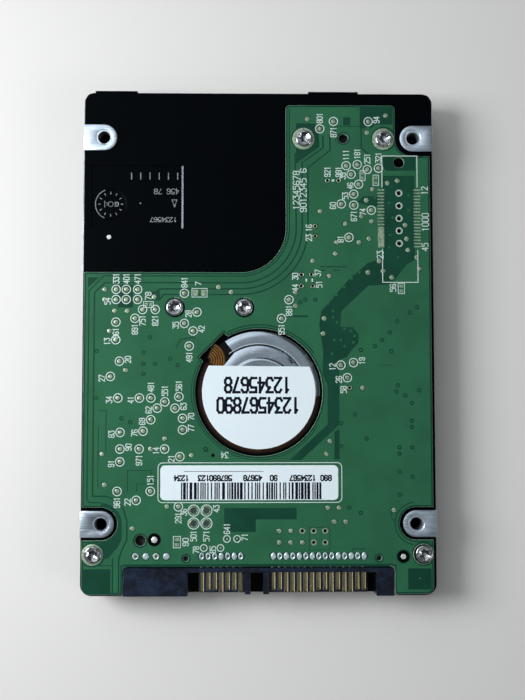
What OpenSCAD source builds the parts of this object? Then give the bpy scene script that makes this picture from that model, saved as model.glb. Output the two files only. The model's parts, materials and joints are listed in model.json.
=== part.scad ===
// Hard disk drive of the 2.5 inch size with a serial ATA connector, in millimetres.
// It lies on its cover: the cover is at z = 0, the circuit board faces up, and the
// connector is at the -Y end. The layers are stacked upwards from the cover.

/* [Drive] */
// Width across the two long sides
drive_w = 69.85; // [69.6:0.05:70.1]
// Length along Y, the lugs of the far end included
drive_l = 100.2; // [100:0.05:100.5]
// Radius of the casting's upright corners
corner_r = 2.2; // [1.5:0.1:3]
// How far the two lugs stand out at the far end
lug_rise = 0.4; // [0.2:0.05:0.5]

/* [Mounting holes] */
// Distance of the threaded holes from the sides
hole_inset = 4.065; // [4:0.005:4.1]
// Distance from the connector end to the nearest pair of holes
hole_end = 14; // [13.8:0.05:14.2]
// Distance from the far end to the other pair of holes
hole_far = 9.6; // [9.4:0.05:9.8]
// Tapping radius of the M3 mounting holes
mount_hole_r = 1.25; // [1.2:0.01:1.3]
// Depth of the bottom mounting holes
mount_hole_depth = 3; // [2.5:0.1:3.2]
// Distance of the side holes below the mounting plane
side_hole_drop = 3; // [2.9:0.05:3.1]
// Depth of the side mounting holes
side_hole_depth = 2.4; // [2:0.1:2.6]
// Radius of the bright bosses round the bottom holes
boss_r = 2.6; // [2.4:0.1:2.8]

/* [Layers, from the cover up] */
// Thickness of the cover plate
cover_t = 0.7; // [0.6:0.05:0.8]
// Gap between the cover and the lowest arm
cover_gap = 0.3; // [0.3:0.05:0.4]
// Thickness of the two outer arms
arm_t = 0.5; // [0.5:0.05:0.6]
// Gap between an arm and the platter beside it
arm_gap = 0.4; // [0.38:0.02:0.5]
// Thickness of a platter
platter_t = 0.635; // [0.6:0.005:0.8]
// Thickness of the arm between the platters
mid_arm_t = 0.7; // [0.6:0.05:0.8]
// Gap between the highest arm and the floor of the casting
floor_gap = 0.43; // [0.35:0.01:0.6]
// Thickness of the casting's floor
floor_t = 1; // [0.9:0.05:1.2]
// Depth of the pocket for the parts under the circuit board
pocket_depth = 1.3; // [1.3:0.05:1.6]
// Thickness of the circuit board
board_t = 0.8; // [0.7:0.05:1]
// Height of the mounting bosses above the circuit board
boss_rise = 0.4; // [0.35:0.01:0.5]

/* [Casting and cover] */
// Gap between the rim of a platter and the casting
platter_room = 0.6; // [0.5:0.05:0.7]
// Wall between the platters and each long side
side_wall = 1.825; // [1.8:0.025:2]
// Wall between the platters and the connector
conn_wall = 1.14; // [1.1:0.02:1.3]
// Wall between the actuator chamber and the side beside it
chamber_wall = 3.825; // [3.6:0.025:4]
// Wall between the flex bracket's chamber and the side beside it
bay_wall = 7.425; // [7:0.025:7.5]
// Wall between the flex bracket's chamber and the far end
bay_end_wall = 2.7; // [2.5:0.05:3]
// Width of the ledge that holds the gasket
ledge_w = 1.1; // [1:0.05:1.15]
// Width of the gasket
gasket_w = 0.8; // [0.6:0.05:0.9]
// Thickness of the gasket
gasket_t = 0.3; // [0.25:0.01:0.35]
// Wall between the actuator chamber and the far end
end_wall = 1.7; // [1.5:0.05:1.9]
// Width of the ledge that the circuit board rests on
board_ledge = 1.4; // [1.2:0.1:1.8]
// Gap between the circuit board and the casting beside it
board_gap = 0.3; // [0.2:0.05:0.4]
// Inset of the cover plate from the casting's outline
cover_inset = 0.15; // [0.1:0.05:0.3]
// Thread radius of the cover screws
cover_screw_r = 0.8; // [0.7:0.05:0.9]
// Head radius of the cover screws
cover_head_r = 1.7; // [1.5:0.05:1.9]
// Height of a cover screw's head
cover_head_h = 0.45; // [0.35:0.05:0.5]
// Length of a cover screw's thread below its head
cover_screw_l = 3; // [2.5:0.1:3.4]
// Inset of the corner screws from the sides
cover_screw_inset = 3.6; // [3.4:0.05:3.8]
// Depth of the recess for the cover's label
label_recess = 0.15; // [0.12:0.01:0.2]
// Thickness of the labels
label_t = 0.1; // [0.06:0.01:0.11]

/* [Platters and motor] */
// Radius of a platter's bore
platter_bore_r = 10; // [10:0.05:10.2]
// Gap between a platter's bore and the hub
bore_gap = 0.03; // [0.02:0.01:0.05]
// Outer radius of the hub's flange
flange_r = 12; // [11.8:0.05:12.2]
// Thickness of the hub's flange
flange_t = 0.5; // [0.45:0.01:0.55]
// Thickness of the platter clamp
clamp_t = 0.5; // [0.4:0.05:0.55]
// Outer radius of the clamp and of the spacer
clamp_r = 11.8; // [11.5:0.05:12]
// Radius of the spindle shaft
shaft_r = 1.5; // [1.4:0.02:1.6]
// Running clearance between the shaft and its sleeve
shaft_gap = 0.03; // [0.02:0.01:0.05]
// Outer radius of the bearing sleeve
sleeve_r = 3.2; // [3:0.05:3.3]
// Gap between the sleeve and the well in the hub
well_gap = 0.4; // [0.35:0.01:0.5]
// Outer radius of the hub's skirt
skirt_r = 10.9; // [10.7:0.05:11]
// Wall of the hub's skirt
skirt_t = 1; // [0.8:0.05:1.1]
// Radial thickness of the rotor magnet
rotor_magnet_t = 1; // [0.9:0.05:1.1]
// Gap between the stator and the rotor magnet
air_gap = 0.3; // [0.3:0.01:0.4]
// Gap between the hub's skirt and the casting
skirt_gap = 0.7; // [0.6:0.05:0.8]
// Radius of the motor bracket's disc
bracket_r = 12.1; // [12:0.05:12.2]
// Thickness of the motor bracket's disc
bracket_t = 0.7; // [0.6:0.05:0.75]
// Thickness of the bracket's spigot in the casting
spigot_t = 0.4; // [0.35:0.01:0.45]
// Number of stator teeth
teeth = 9; // [9:3:12]
// Thickness of the stator's laminations
core_t = 0.8; // [0.6:0.05:0.9]
// Height of the windings above and below the core
winding_h = 0.4; // [0.3:0.05:0.45]

/* [Actuator] */
// Gap along the length between a platter and the hub that carries the arms
hub_room = 0.56; // [0.5:0.02:0.8]
// How much nearer the heads are to the pivot than the spindle is
reach_short = 6.75; // [6.6:0.05:6.9]
// Distance of the parked heads from the rim of a platter
park_out = 1.35; // [1.3:0.05:1.4]
// Swing of the arms from the ramp to the innermost track, in degrees
stroke = 33; // [30:0.5:33]
// Radius of the pivot shaft
pivot_r = 1.5; // [1.4:0.02:1.6]
// Outer radius of the hub that carries the arms
arm_hub_r = 5.8; // [5.6:0.05:6]
// Wall of the pivot's sleeve
pivot_sleeve_t = 0.7; // [0.6:0.05:0.8]
// Radius of the balls in the pivot's bearings
ball_r = 0.5; // [0.45:0.01:0.52]
// Wall of the bearings' rings
ring_t = 0.5; // [0.45:0.01:0.55]
// Clearance of the balls in their rings
ball_gap = 0.05; // [0.03:0.01:0.06]
// Length of the stiff arms from the pivot
arm_reach = 22; // [21:0.1:23]
// Thickness of a head's suspension
suspension_t = 0.1; // [0.08:0.01:0.12]
// Thickness of a head slider
slider_t = 0.22; // [0.18:0.01:0.23]
// Thickness of the voice coil
coil_t = 1.6; // [1.4:0.05:1.7]
// Inner radius of the voice coil about the pivot
coil_r_in = 9.5; // [9.3:0.05:10]
// Outer radius of the voice coil about the pivot
coil_r_out = 18.5; // [18:0.05:18.6]
// Half of the angle that the voice coil covers
coil_half_angle = 17; // [15:0.5:17]
// Width of one side of the voice coil's winding
coil_band = 2.4; // [2.2:0.05:2.6]
// Rim of the frame round the voice coil
coil_rim = 0.8; // [0.7:0.05:0.9]
// Gap between the voice coil and each magnet
magnet_gap = 0.35; // [0.32:0.01:0.4]
// Thickness of each magnet
magnet_t = 0.55; // [0.5:0.01:0.6]
// Thickness of the yoke on the cover's side
yoke_t = 0.6; // [0.5:0.01:0.62]
// Radius of the two posts between the yokes
post_r = 1.1; // [1:0.05:1.2]
// Thread radius of the small screws
small_screw_r = 0.6; // [0.5:0.02:0.65]
// Radius of the rubber stops
stop_r = 0.8; // [0.7:0.05:0.9]
// Gap between the coil's frame and a rubber stop at each limit
stop_gap = 0.3; // [0.3:0.02:0.4]

/* [Circuit board] */
// Inset of the board from the left side
board_inset_l = 0.32; // [0.25:0.01:0.5]
// Inset of the board from the right side
board_inset_r = 0.62; // [0.5:0.01:0.8]
// Inset of the board from the connector end
board_inset_end = 0.35; // [0.3:0.01:0.5]
// Distance of the board's far edge from the far end
board_far = 2.8; // [2.7:0.05:3]
// Width of the bare corner beside the board
bare_w = 40.32; // [40.2:0.02:40.5]
// Length of the bare corner beside the board
bare_l = 36.65; // [36.5:0.05:36.8]
// Radius of the board's inner corner
bare_r = 9; // [8.5:0.1:9.5]
// Gap between the motor bracket's disc and the board
motor_gap = 0.5; // [0.4:0.02:0.6]
// Width of the notch for the motor's flex
notch_w = 6.9; // [6.5:0.1:7]
// Depth of that notch in the board's hole
notch_depth = 0.6; // [0.5:0.05:0.8]
// Radial width of the window in the bracket's disc
window_w = 3.1; // [3:0.1:3.3]
// Radius of the slots round the two lower bosses
boss_slot_r = 3.2; // [3.1:0.05:3.3]
// Thread radius of the board's screws
board_screw_r = 0.7; // [0.65:0.01:0.8]
// Radius of the heads of the board's screws
board_head_r = 1.75; // [1.6:0.05:1.8]
// Height of the heads of the board's screws
board_head_h = 0.35; // [0.3:0.01:0.36]
// Thickness of the foam under the board
foam_t = 0.3; // [0.2:0.05:0.3]
// Height of the tallest parts under the board
chip_h = 0.95; // [0.8:0.05:1]

/* [Serial connector] */
// Width of the connector
conn_w = 53; // [52.8:0.05:53.1]
// Depth of the connector outside the board's edge
conn_d = 5.5; // [5.4:0.05:5.6]
// Height of the connector below the board's upper face
conn_drop = 4.8; // [4.7:0.05:4.9]
// Height of the connector above the board's upper face
conn_rise = 0.1; // [0.05:0.05:0.2]
// Thickness of the wall behind the tongues
conn_back_t = 1.5; // [1.4:0.05:1.6]
// Thickness of the tongues
tongue_t = 1.2; // [1.1:0.05:1.23]
// Height of the board's upper face above the tongues
tongue_drop = 1; // [0.95:0.01:1.05]
// Pitch of the contacts
contact_pitch = 1.27; // [1.26:0.01:1.27]
// Width of a contact
contact_w = 0.84; // [0.7:0.02:0.9]
// Thickness of a contact
contact_t = 0.15; // [0.12:0.01:0.16]
// Distance of the solder row from the wall behind the tongues
solder_d = 2.24; // [2.15:0.02:2.4]
// Pitch of the jumper pins
jumper_pitch = 2; // [1.95:0.01:2]
// Width of a jumper pin
jumper_pin_w = 0.5; // [0.45:0.01:0.6]

/* [Hidden] */
$fn = 96;
eps = 0.01;

// Heights of the faces, upwards from the cover's outer face
z_rim = cover_t;
z_arm1 = z_rim + cover_gap;
z_disc1 = z_arm1 + arm_t + arm_gap;
z_arm2 = z_disc1 + platter_t + arm_gap;
z_disc2 = z_arm2 + mid_arm_t + arm_gap;
z_arm3 = z_disc2 + platter_t + arm_gap;
z_ceiling = z_arm3 + arm_t + floor_gap;
z_floor = z_ceiling + floor_t;
z_deck = z_floor + pocket_depth;
z_board = z_deck + board_t;
drive_h = z_board + boss_rise;

// Outline of the drive
x_side = drive_w / 2;
y_conn = -drive_l / 2;
y_far = drive_l / 2 - lug_rise;
lug_spans = [[-x_side + corner_r, -x_side + 10.6], [-x_side + 44.9, -x_side + 54.9]];
hole_x = x_side - hole_inset;
hole_y1 = y_conn + hole_end;
hole_y2 = drive_l / 2 - hole_far;
holes = [for (x = [-hole_x, hole_x], y = [hole_y1, hole_y2]) [x, y]];

// Axes of the actuator and of the spindle: the platters fill the room between the long
// sides, and between the connector and the hub of the arms
coil_frame_r = coil_r_out + coil_rim;
yoke_r = coil_frame_r + 0.2;
chamber_r = coil_frame_r + 1.3;
pivot = [-x_side + chamber_wall + chamber_r, y_far - end_wall - yoke_r];
room_l = pivot[1] - arm_hub_r - hub_room - y_conn - conn_d - conn_wall - platter_room;
platter_r = min(x_side - side_wall - platter_room, room_l / 2);
cavity_r = platter_r + platter_room;
spindle = [0, y_conn + conn_d + conn_wall + cavity_r];
bay_x = x_side - bay_wall;
bay_y = y_far - bay_end_wall;

// Heads: the parked head lies just outside the platter's rim
axis_d = norm(spindle - pivot);
head_reach = axis_d - reach_short;
park_r = platter_r + park_out;
park_turn = acos((axis_d ^ 2 + head_reach ^ 2 - park_r ^ 2) / (2 * axis_d * head_reach));
park_angle = atan2(spindle[1] - pivot[1], spindle[0] - pivot[0]) + park_turn;
coil_angle = park_angle + 180;
frame_half_angle = coil_half_angle + asin(coil_rim / coil_r_in) / 2;

// Circuit board's edges
board_x1 = -x_side + board_inset_l;
board_x2 = x_side - board_inset_r;
board_y1 = y_conn + board_inset_end;
board_y2 = drive_l / 2 - board_far;
bare_x = -x_side + bare_w;
bare_y = drive_l / 2 - bare_l;
boss_cut_r = boss_r + 0.9;
board_far_x = hole_x - boss_cut_r;
board_far_y = hole_y2 - boss_cut_r;
far_screw_y = hole_y2 + 0.04;
motor_hole_r = bracket_r + motor_gap;
mid_screw_y = spindle[1] + motor_hole_r + 4.2;
end_screw = [x_side - 2.55, y_conn + 8.1];
board_screws = [[bare_x + 3.7, far_screw_y], [bare_x + 19.7, far_screw_y],
    [spindle[0] - 16.65, mid_screw_y], [spindle[0] - 2.9, mid_screw_y], [-end_screw[0], end_screw[1]], end_screw];
standoff_r = 2.2;

// Motor
hub_r = platter_bore_r - bore_gap;
motor_bore_r = skirt_r + skirt_gap;
collar_r = motor_bore_r + 1.8;
well_r = sleeve_r + well_gap;
z_flange = z_disc2 + platter_t;
z_hub_top = z_flange + flange_t;
z_spigot = z_deck - spigot_t;
z_skirt = z_spigot - 0.3;
magnet_r_in = skirt_r - skirt_t - rotor_magnet_t;
stator_r = magnet_r_in - air_gap;
stem_r = sleeve_r + 0.6;
z_core = (z_hub_top + z_spigot - core_t) / 2;
z_well = z_disc1 + 1;
z_sleeve = z_well + 0.3;
z_counter = z_deck - 0.1;
z_bracket = z_deck + bracket_t;
clamp_screw_r = 6.8;
clamp_head_h = 0.35;
label_flat = 5.1;

// Actuator
z_coil = (z_arm1 + z_arm3 + arm_t - coil_t) / 2;
z_magnet1 = z_coil - magnet_gap - magnet_t;
z_yoke1 = z_magnet1 - yoke_t;
z_magnet2 = z_coil + coil_t + magnet_gap;
z_yoke2 = z_magnet2 + magnet_t;
ring_in_r = pivot_r + ring_t;
ball_track_r = ring_in_r + ball_gap + ball_r;
ring_out_r = ball_track_r + ball_r + ball_gap;
sleeve_in_r = ring_out_r + ring_t;
arm_bore_r = sleeve_in_r + pivot_sleeve_t;
bearing_h = 1;
sleeve_inset = 0.1;
bearing_zs = [z_arm1 + sleeve_inset, z_arm3 + arm_t - sleeve_inset - bearing_h];
frame_edges = [coil_angle - stroke - frame_half_angle, coil_angle + frame_half_angle];
post_orbit = 14;
post_angles = [frame_edges[0] - 9.3, frame_edges[1] + 9.2];
outer_stop_orbit = 17.5;
inner_stop_orbit = 12;
stop_off = stop_r + stop_gap;
stops = [[outer_stop_orbit, frame_edges[0] - asin(stop_off / outer_stop_orbit)],
    [inner_stop_orbit, frame_edges[1] + asin(stop_off / inner_stop_orbit)]];
latch_at = pivot + [-13, -7.5];
latch_len = 6.5;
latch_angle = 130;
latch_pin_r = 0.5;
latch_gap = 0.05;
ramp_r = [head_reach + 0.9, head_reach + 3.1, head_reach + 5.3];
ramp_angles = [park_angle - 4, park_angle + 5];
tab_reach = head_reach + 1.9;

// Circuit board's pocket, connector and flex
conn_x = conn_w / 2;
conn_back_y = y_conn + conn_d;
conn_front_y = conn_back_y - conn_back_t;
z_conn1 = z_board - conn_drop;
z_conn2 = z_board + conn_rise;
z_tongue2 = z_board - tongue_drop;
z_tongue1 = z_tongue2 - tongue_t;
z_shelf = z_tongue2 - 0.95;
solder_y = conn_back_y + solder_d;
jumper_block_w = 12.6;
signal_x = -11.16;
power_x = 2.83;
signal_count = 7;
power_count = 15;
signals = [for (i = [0 : signal_count - 1]) signal_x + i * contact_pitch];
powers = [for (i = [0 : power_count - 1]) power_x + i * contact_pitch];
long_signals = [0, 3, 6];
long_powers = [2, 3, 4, 5, 6, 9, 11, 12];
tongue_in = 0.6;
key_w = 1.15;
key_end = signals[signal_count - 1] + 1.95;
key_start = power_x - 1.99;
power_end = powers[power_count - 1] + 0.72;
guide_w = 3.5;
jumper_x = -conn_x + 2.45;
jumpers = [for (i = [0 : 3]) jumper_x + i * jumper_pitch];
flex_plate = [[bay_x - 19.5, bay_y - 16], [bay_x - 1.5, bay_y - 2]];
feed_box = [flex_plate[0] + [4, 2.6], flex_plate[0] + [14, 6.4]];

// ---- Helpers ----

// Extrudes a plan from height z1 up to height z2
module slab(z1, z2) {
    translate([0, 0, z1]) linear_extrude(z2 - z1) children();
}

// Upright rod or hole from height z1 up to height z2
module rod(at, z1, z2, r) {
    translate([at[0], at[1], z1]) cylinder(h = z2 - z1, r = r);
}

// Plan of a rectangle between two corners
module rect(a, b) {
    translate(a) square(b - a);
}

// Plan of a rectangle between two corners, with rounded corners
module round_rect(a, b, r) {
    rect(a + [r, 0], b - [r, 0]);
    rect(a + [0, r], b - [0, r]);
    for (x = [a[0] + r, b[0] - r], y = [a[1] + r, b[1] - r]) translate([x, y]) circle(r);
}

// Box between two corners given as [x, y, z]
module block(a, b) {
    translate(a) cube(b - a);
}

// Plan of a ring's sector about the origin, from angle a1 to angle a2
module sector(r1, r2, a1, a2) {
    reach = r2 * 2;
    intersection() {
        difference() {
            circle(r2);
            if (r1 > 0) circle(r1);
        }
        polygon([[0, 0], for (i = [0 : 3]) reach * dir(a1 + (a2 - a1) * i / 3)]);
    }
}

// Unit vector at an angle
function dir(a) = [cos(a), sin(a)];

// Point at a radius and an angle about the pivot
function about_pivot(r, a) = pivot + r * dir(a);

module at_pivot(a) {
    translate(pivot) rotate(a) children();
}

// Plan of a ring
module ring(r1, r2) {
    difference() {
        circle(r2);
        circle(r1);
    }
}

// ---- Casting and cover ----

module drive_plan(inset = 0) {
    round_rect([-x_side + inset, y_conn + inset], [x_side - inset, y_far - inset], corner_r);
}

// Room for the platters, the actuator and the filters, grown by g
module cavity_plan(g = 0) {
    translate(spindle) circle(cavity_r + g);
    intersection() {
        translate(pivot) circle(chamber_r + g);
        rect([-x_side, spindle[1]], [x_side, y_far - end_wall + g]);
    }
    rect([pivot[0] - g, spindle[1]], [bay_x + g, bay_y + g]);
    translate(ramp_screw_at) circle(ramp_room + g);
    for (a = filter_angles) translate(spindle) rotate(a)
        rect([0, -filter_w / 2 - filter_room - g], [cavity_r + filter_d + g, filter_w / 2 + filter_room + g]);
}

filter_angles = [-42, -138];
filter_w = 8;
filter_d = 3.2;
filter_h = 3.4;
filter_room = 0.3;

// Upper surface of the casting that the board leaves bare
module bare_plan() {
    corner = [bare_x - bare_r, bare_y + bare_r];
    top = [x_side, y_far];
    rect([-x_side, bare_y + board_gap], [corner[0], y_far]);
    rect([-x_side, corner[1]], [bare_x - board_gap, y_far]);
    translate(corner) circle(bare_r - board_gap);
    rect([-x_side, board_y2 + board_gap], top);
    rect([board_far_x + board_gap, hole_y2], top);
    rect([hole_x, board_far_y + board_gap], top);
    translate([hole_x, hole_y2]) circle(boss_cut_r - board_gap);
}

// Pocket for the parts under the board, grown by g
module pocket_plan(g = 0) {
    l = board_ledge - g;
    difference() {
        union() {
            rect([board_x1 + l, hole_y1 - boss_cut_r], [board_x2 - l, bare_y - l]);
            rect([-conn_x + l, conn_back_y - eps], [conn_x - l, bare_y - l]);
            rect([bare_x + l, conn_back_y], [board_far_x - l, board_y2 - l]);
            rect([bare_x + l, conn_back_y], [board_x2 - l, board_far_y - l]);
        }
        translate(spindle) circle(collar_r - g);
        for (p = board_screws) translate(p) circle(standoff_r - g);
        for (s = [-1, 1]) translate([s * hole_x, hole_y1]) {
            circle(boss_cut_r + 0.4 - g);
            rect([min(0, s * 9), -boss_cut_r - 0.4 + g], [max(0, s * 9), boss_cut_r + 0.4 - g]);
        }
    }
}

module boss_plan(p, r) {
    translate(p) circle(r);
    side = p[0] > 0 ? 1 : -1;
    rect([min(p[0], side * x_side), p[1] - r], [max(p[0], side * x_side), p[1] + r]);
}

cover_screw_x = x_side - cover_screw_inset;
cover_screw_ys = [y_conn + cover_screw_inset, y_far - cover_screw_inset];
side_screws = [[-cover_screw_x, pivot[1] - 14.5], [cover_screw_x, pivot[1] - 6.5]];
cover_holes = concat([for (x = [-cover_screw_x, cover_screw_x], y = cover_screw_ys) [x, y]], side_screws);
pivot_screw_l = 2.2;
engraving = [[-x_side + 1.6, bare_y + 8.7], [-x_side + 19.9, bare_y + 21.5]];
engraving_depth = 0.25;
wheel = engraving[0] + [3.8, 4.95];
wheel_r = 3.2;
wheel_groove = 0.35;
pit = engraving[0] + [3.5, -1.65];
pit_r = 0.45;

module base_casting() color([0.05, 0.05, 0.055]) difference() {
    union() {
        slab(z_rim, z_deck) drive_plan();
        slab(z_rim, z_board) intersection() {
            drive_plan();
            bare_plan();
        }
        for (span = lug_spans) block([span[0], y_far - 1, z_rim], [span[1], drive_l / 2, z_board]);
        for (p = holes) slab(z_floor, drive_h) intersection() {
            drive_plan();
            boss_plan(p, boss_r);
        }
    }
    slab(z_rim - eps, z_ceiling) intersection() {
        cavity_plan();
        rect([-x_side, spindle[1]], [x_side, y_far]);
    }
    rod(spindle, z_rim - eps, z_ceiling, cavity_r);
    slab(z_rim - eps, z_rim + filter_room + filter_h) cavity_plan();
    slab(z_rim - eps, z_rim + gasket_t) cavity_plan(ledge_w);
    rod(spindle, z_rim, z_deck + eps, motor_bore_r);
    slab(z_floor, z_deck + eps) pocket_plan();
    block([-conn_x - board_gap, y_conn - eps, z_conn1 - board_gap],
        [conn_x + board_gap, conn_back_y, z_board + eps]);
    for (p = holes) rod(p, drive_h - mount_hole_depth, drive_h + eps, mount_hole_r);
    for (s = [-1, 1], y = [hole_y1, hole_y2])
        translate([s * (x_side + eps), y, drive_h - side_hole_drop]) rotate([0, -s * 90, 0])
            cylinder(h = side_hole_depth, r = mount_hole_r);
    for (p = cover_holes) rod(p, z_rim - eps, cover_head_h + cover_screw_l, cover_screw_r);
    for (p = board_screws) rod(p, z_floor - 0.2, z_deck + eps, board_screw_r);
    rod(pivot, z_ceiling - eps, z_floor + 0.5, pivot_r);
    rod(latch_at, z_ceiling - eps, z_floor, latch_pin_r);
    rod(ramp_screw_at, z_ceiling - eps, z_ceiling + 0.7, small_screw_r);
    for (a = post_angles) rod(about_pivot(post_orbit, a), z_ceiling - eps, z_floor, small_screw_r);
    slab(z_ceiling - eps, z_floor + eps) rect(feed_box[0], feed_box[1]);
    slab(z_board - engraving_depth, z_board + eps) rect(engraving[0], engraving[1]);
    slab(z_board - engraving_depth - 0.15, z_board) translate(wheel) ring(wheel_r - wheel_groove, wheel_r);
    rod(pit, z_board - 0.5, z_board + eps, pit_r);
}

module top_cover() color([0.72, 0.73, 0.74]) difference() {
    slab(0, z_rim) drive_plan(cover_inset);
    for (p = cover_holes) screw_hole(p);
    screw_hole(pivot);
    rod(breather, -eps, z_rim + eps, 0.6);
    slab(-eps, label_recess) round_rect(cover_label_box[0], cover_label_box[1], 2);
    slab(-eps, label_recess) translate(pivot) sector(bead_r, bead_r + bead_w, -20, 200);
}

module screw_hole(p) {
    rod(p, -eps, cover_head_h, cover_head_r);
    rod(p, -eps, z_rim + eps, cover_screw_r);
}

breather = (flex_plate[0] + flex_plate[1]) / 2 + [0, 2];
cover_label_box = [spindle + [-29, -30], spindle + [29, 30]];
bead_r = 12;
bead_w = 1.6;

module cover_gasket() color([0.12, 0.12, 0.12]) slab(z_rim, z_rim + gasket_t) difference() {
    cavity_plan(ledge_w);
    cavity_plan(ledge_w - gasket_w);
}

module cover_screws() color([0.75, 0.75, 0.76]) {
    for (p = cover_holes) cover_screw(p, cover_screw_l);
    cover_screw(pivot, pivot_screw_l);
}

module cover_screw(p, l) difference() {
    union() {
        rod(p, 0, cover_head_h, cover_head_r);
        rod(p, 0, cover_head_h + l, cover_screw_r);
    }
    translate([p[0], p[1], -eps]) cylinder(h = 0.3, r = 0.7, $fn = 6);
}

module cover_label() color([0.93, 0.93, 0.92])
    slab(label_recess - label_t, label_recess)
        round_rect(cover_label_box[0] + [0.4, 0.4], cover_label_box[1] - [0.4, 0.4], 1.6);

module breather_filter() color([0.9, 0.9, 0.88]) rod(breather, z_rim, z_rim + 1, 3.5);

module filter_block(a) {
    translate(spindle) rotate(a) block([cavity_r + filter_room, -filter_w / 2, z_rim],
        [cavity_r + filter_d - filter_room, filter_w / 2, z_rim + filter_h]);
}

module recirculation_filter() color([0.95, 0.95, 0.93]) filter_block(filter_angles[0]);

module desiccant_pack() color([0.85, 0.87, 0.9]) filter_block(filter_angles[1]);

// ---- Motor ----

bracket_steps = [9.6, 7.2];
step_drop = 0.15;
window_angles = [122, 158];

module motor_bracket() color([0.75, 0.77, 0.79]) translate([spindle[0], spindle[1], 0]) difference() {
    union() {
        rod([0, 0], z_deck, z_bracket, bracket_r);
        rod([0, 0], z_spigot, z_deck + eps, motor_bore_r);
        rod([0, 0], z_core - winding_h, z_deck, stem_r);
    }
    rod([0, 0], z_core - 1, z_bracket + 1, sleeve_r);
    for (i = [0, 1]) rod([0, 0], z_bracket - step_drop * (i + 1), z_bracket + eps, bracket_steps[i]);
    slab(z_deck + 0.1, z_bracket + eps)
        sector(bracket_r - window_w, bracket_r + 1, window_angles[0], window_angles[1]);
}

module stator_core() color([0.45, 0.46, 0.48]) slab(z_core, z_core + core_t) translate(spindle) {
    ring(stem_r, stem_r + 1.2);
    for (i = [0 : teeth - 1]) rotate(i * 360 / teeth) {
        rect([stem_r + 0.6, -tooth_w / 2], [stator_r - 0.4, tooth_w / 2]);
        sector(stator_r - 0.7, stator_r, -14, 14);
    }
}

tooth_w = 1.1;
winding_t = 0.5;

module stator_windings() color([0.72, 0.4, 0.2]) translate([spindle[0], spindle[1], 0])
    for (i = [0 : teeth - 1]) rotate(i * 360 / teeth) difference() {
        block([stem_r + 1.6, -tooth_w / 2 - winding_t, z_core - winding_h],
            [stator_r - 0.9, tooth_w / 2 + winding_t, z_core + core_t + winding_h]);
        block([stem_r, -tooth_w / 2, z_core], [stator_r, tooth_w / 2, z_core + core_t]);
    }

module bearing_sleeve() color([0.8, 0.68, 0.4]) difference() {
    rod(spindle, z_sleeve, z_counter, sleeve_r);
    rod(spindle, z_sleeve - eps, z_counter + eps, shaft_r + shaft_gap);
}

module counter_plate() color([0.7, 0.7, 0.72]) rod(spindle, z_counter, z_counter + 0.4, sleeve_r);

module motor_flex() color([0.7, 0.4, 0.12]) {
    slab(z_bracket, z_bracket + flex_film) translate(spindle)
        sector(bracket_r - 0.8, bracket_r - 0.1, window_angles[1] + 2, 335);
    slab(z_deck + 0.1, z_deck + 0.1 + flex_film) translate(spindle)
        sector(bracket_r - window_w + 0.3, bracket_r - 0.3, window_angles[0] + 3, window_angles[1] - 0.5);
}

flex_film = 0.08;

module motor_label() color([0.92, 0.95, 0.97]) slab(z_bracket, z_bracket + label_t)
    translate(spindle) intersection() {
        circle(bracket_r - 0.9);
        rect([-bracket_r, -bracket_r], [bracket_r, label_flat]);
    }

module spindle_hub() color([0.8, 0.81, 0.82]) difference() {
    union() {
        rod(spindle, z_disc1, z_hub_top, hub_r);
        rod(spindle, z_flange, z_hub_top, flange_r);
        rod(spindle, z_hub_top - eps, z_skirt, skirt_r);
    }
    rod(spindle, z_hub_top, z_skirt + eps, skirt_r - skirt_t);
    rod(spindle, z_disc1 - eps, z_skirt, shaft_r);
    rod(spindle, z_well, z_skirt, well_r);
    for (i = [0 : 5]) rod(spindle + clamp_screw_r * dir(60 * i), z_disc1 - eps, z_disc1 + 1.2, small_screw_r);
}

module rotor_magnet() color([0.35, 0.35, 0.37]) slab(z_hub_top, z_skirt - 0.3) translate(spindle)
    ring(magnet_r_in, skirt_r - skirt_t);

module spindle_shaft() color([0.85, 0.85, 0.87]) rod(spindle, z_disc1, z_counter - 0.05, shaft_r);

module platter(z) {
    color([0.86, 0.87, 0.88]) slab(z, z + platter_t) translate(spindle) ring(platter_bore_r, platter_r);
}

module platter_lower() platter(z_disc1);

module platter_upper() platter(z_disc2);

module platter_spacer() color([0.78, 0.79, 0.8]) slab(z_disc1 + platter_t, z_disc2) translate(spindle)
    ring(platter_bore_r, clamp_r);

module platter_clamp() color([0.82, 0.83, 0.84]) difference() {
    rod(spindle, z_disc1 - clamp_t, z_disc1, clamp_r);
    rod(spindle, z_disc1 - clamp_t - eps, z_disc1 + eps, 3);
    for (i = [0 : 5]) rod(spindle + clamp_screw_r * dir(60 * i), z_disc1 - clamp_t - eps, z_disc1 + eps,
        small_screw_r);
}

module clamp_screws() color([0.6, 0.6, 0.62])
    for (i = [0 : 5]) socket_screw(spindle + clamp_screw_r * dir(60 * i), z_disc1 - clamp_t, 1.6, 1);

// Screw with its head below height z and its thread above it
module socket_screw(p, z, l, head) difference() {
    union() {
        rod(p, z - clamp_head_h, z, head);
        rod(p, z - clamp_head_h, z + l, small_screw_r);
    }
    translate([p[0], p[1], z - clamp_head_h - eps]) cylinder(h = 0.2, r = 0.45, $fn = 6);
}

// ---- Actuator ----

module arm_plan() {
    root = arm_hub_r * 0.8;
    polygon([[arm_bore_r - 1, -root], [arm_reach, -1.4], [arm_reach, 1.4], [arm_bore_r - 1, root]]);
}

arm_window = [11, 1.5];

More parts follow.
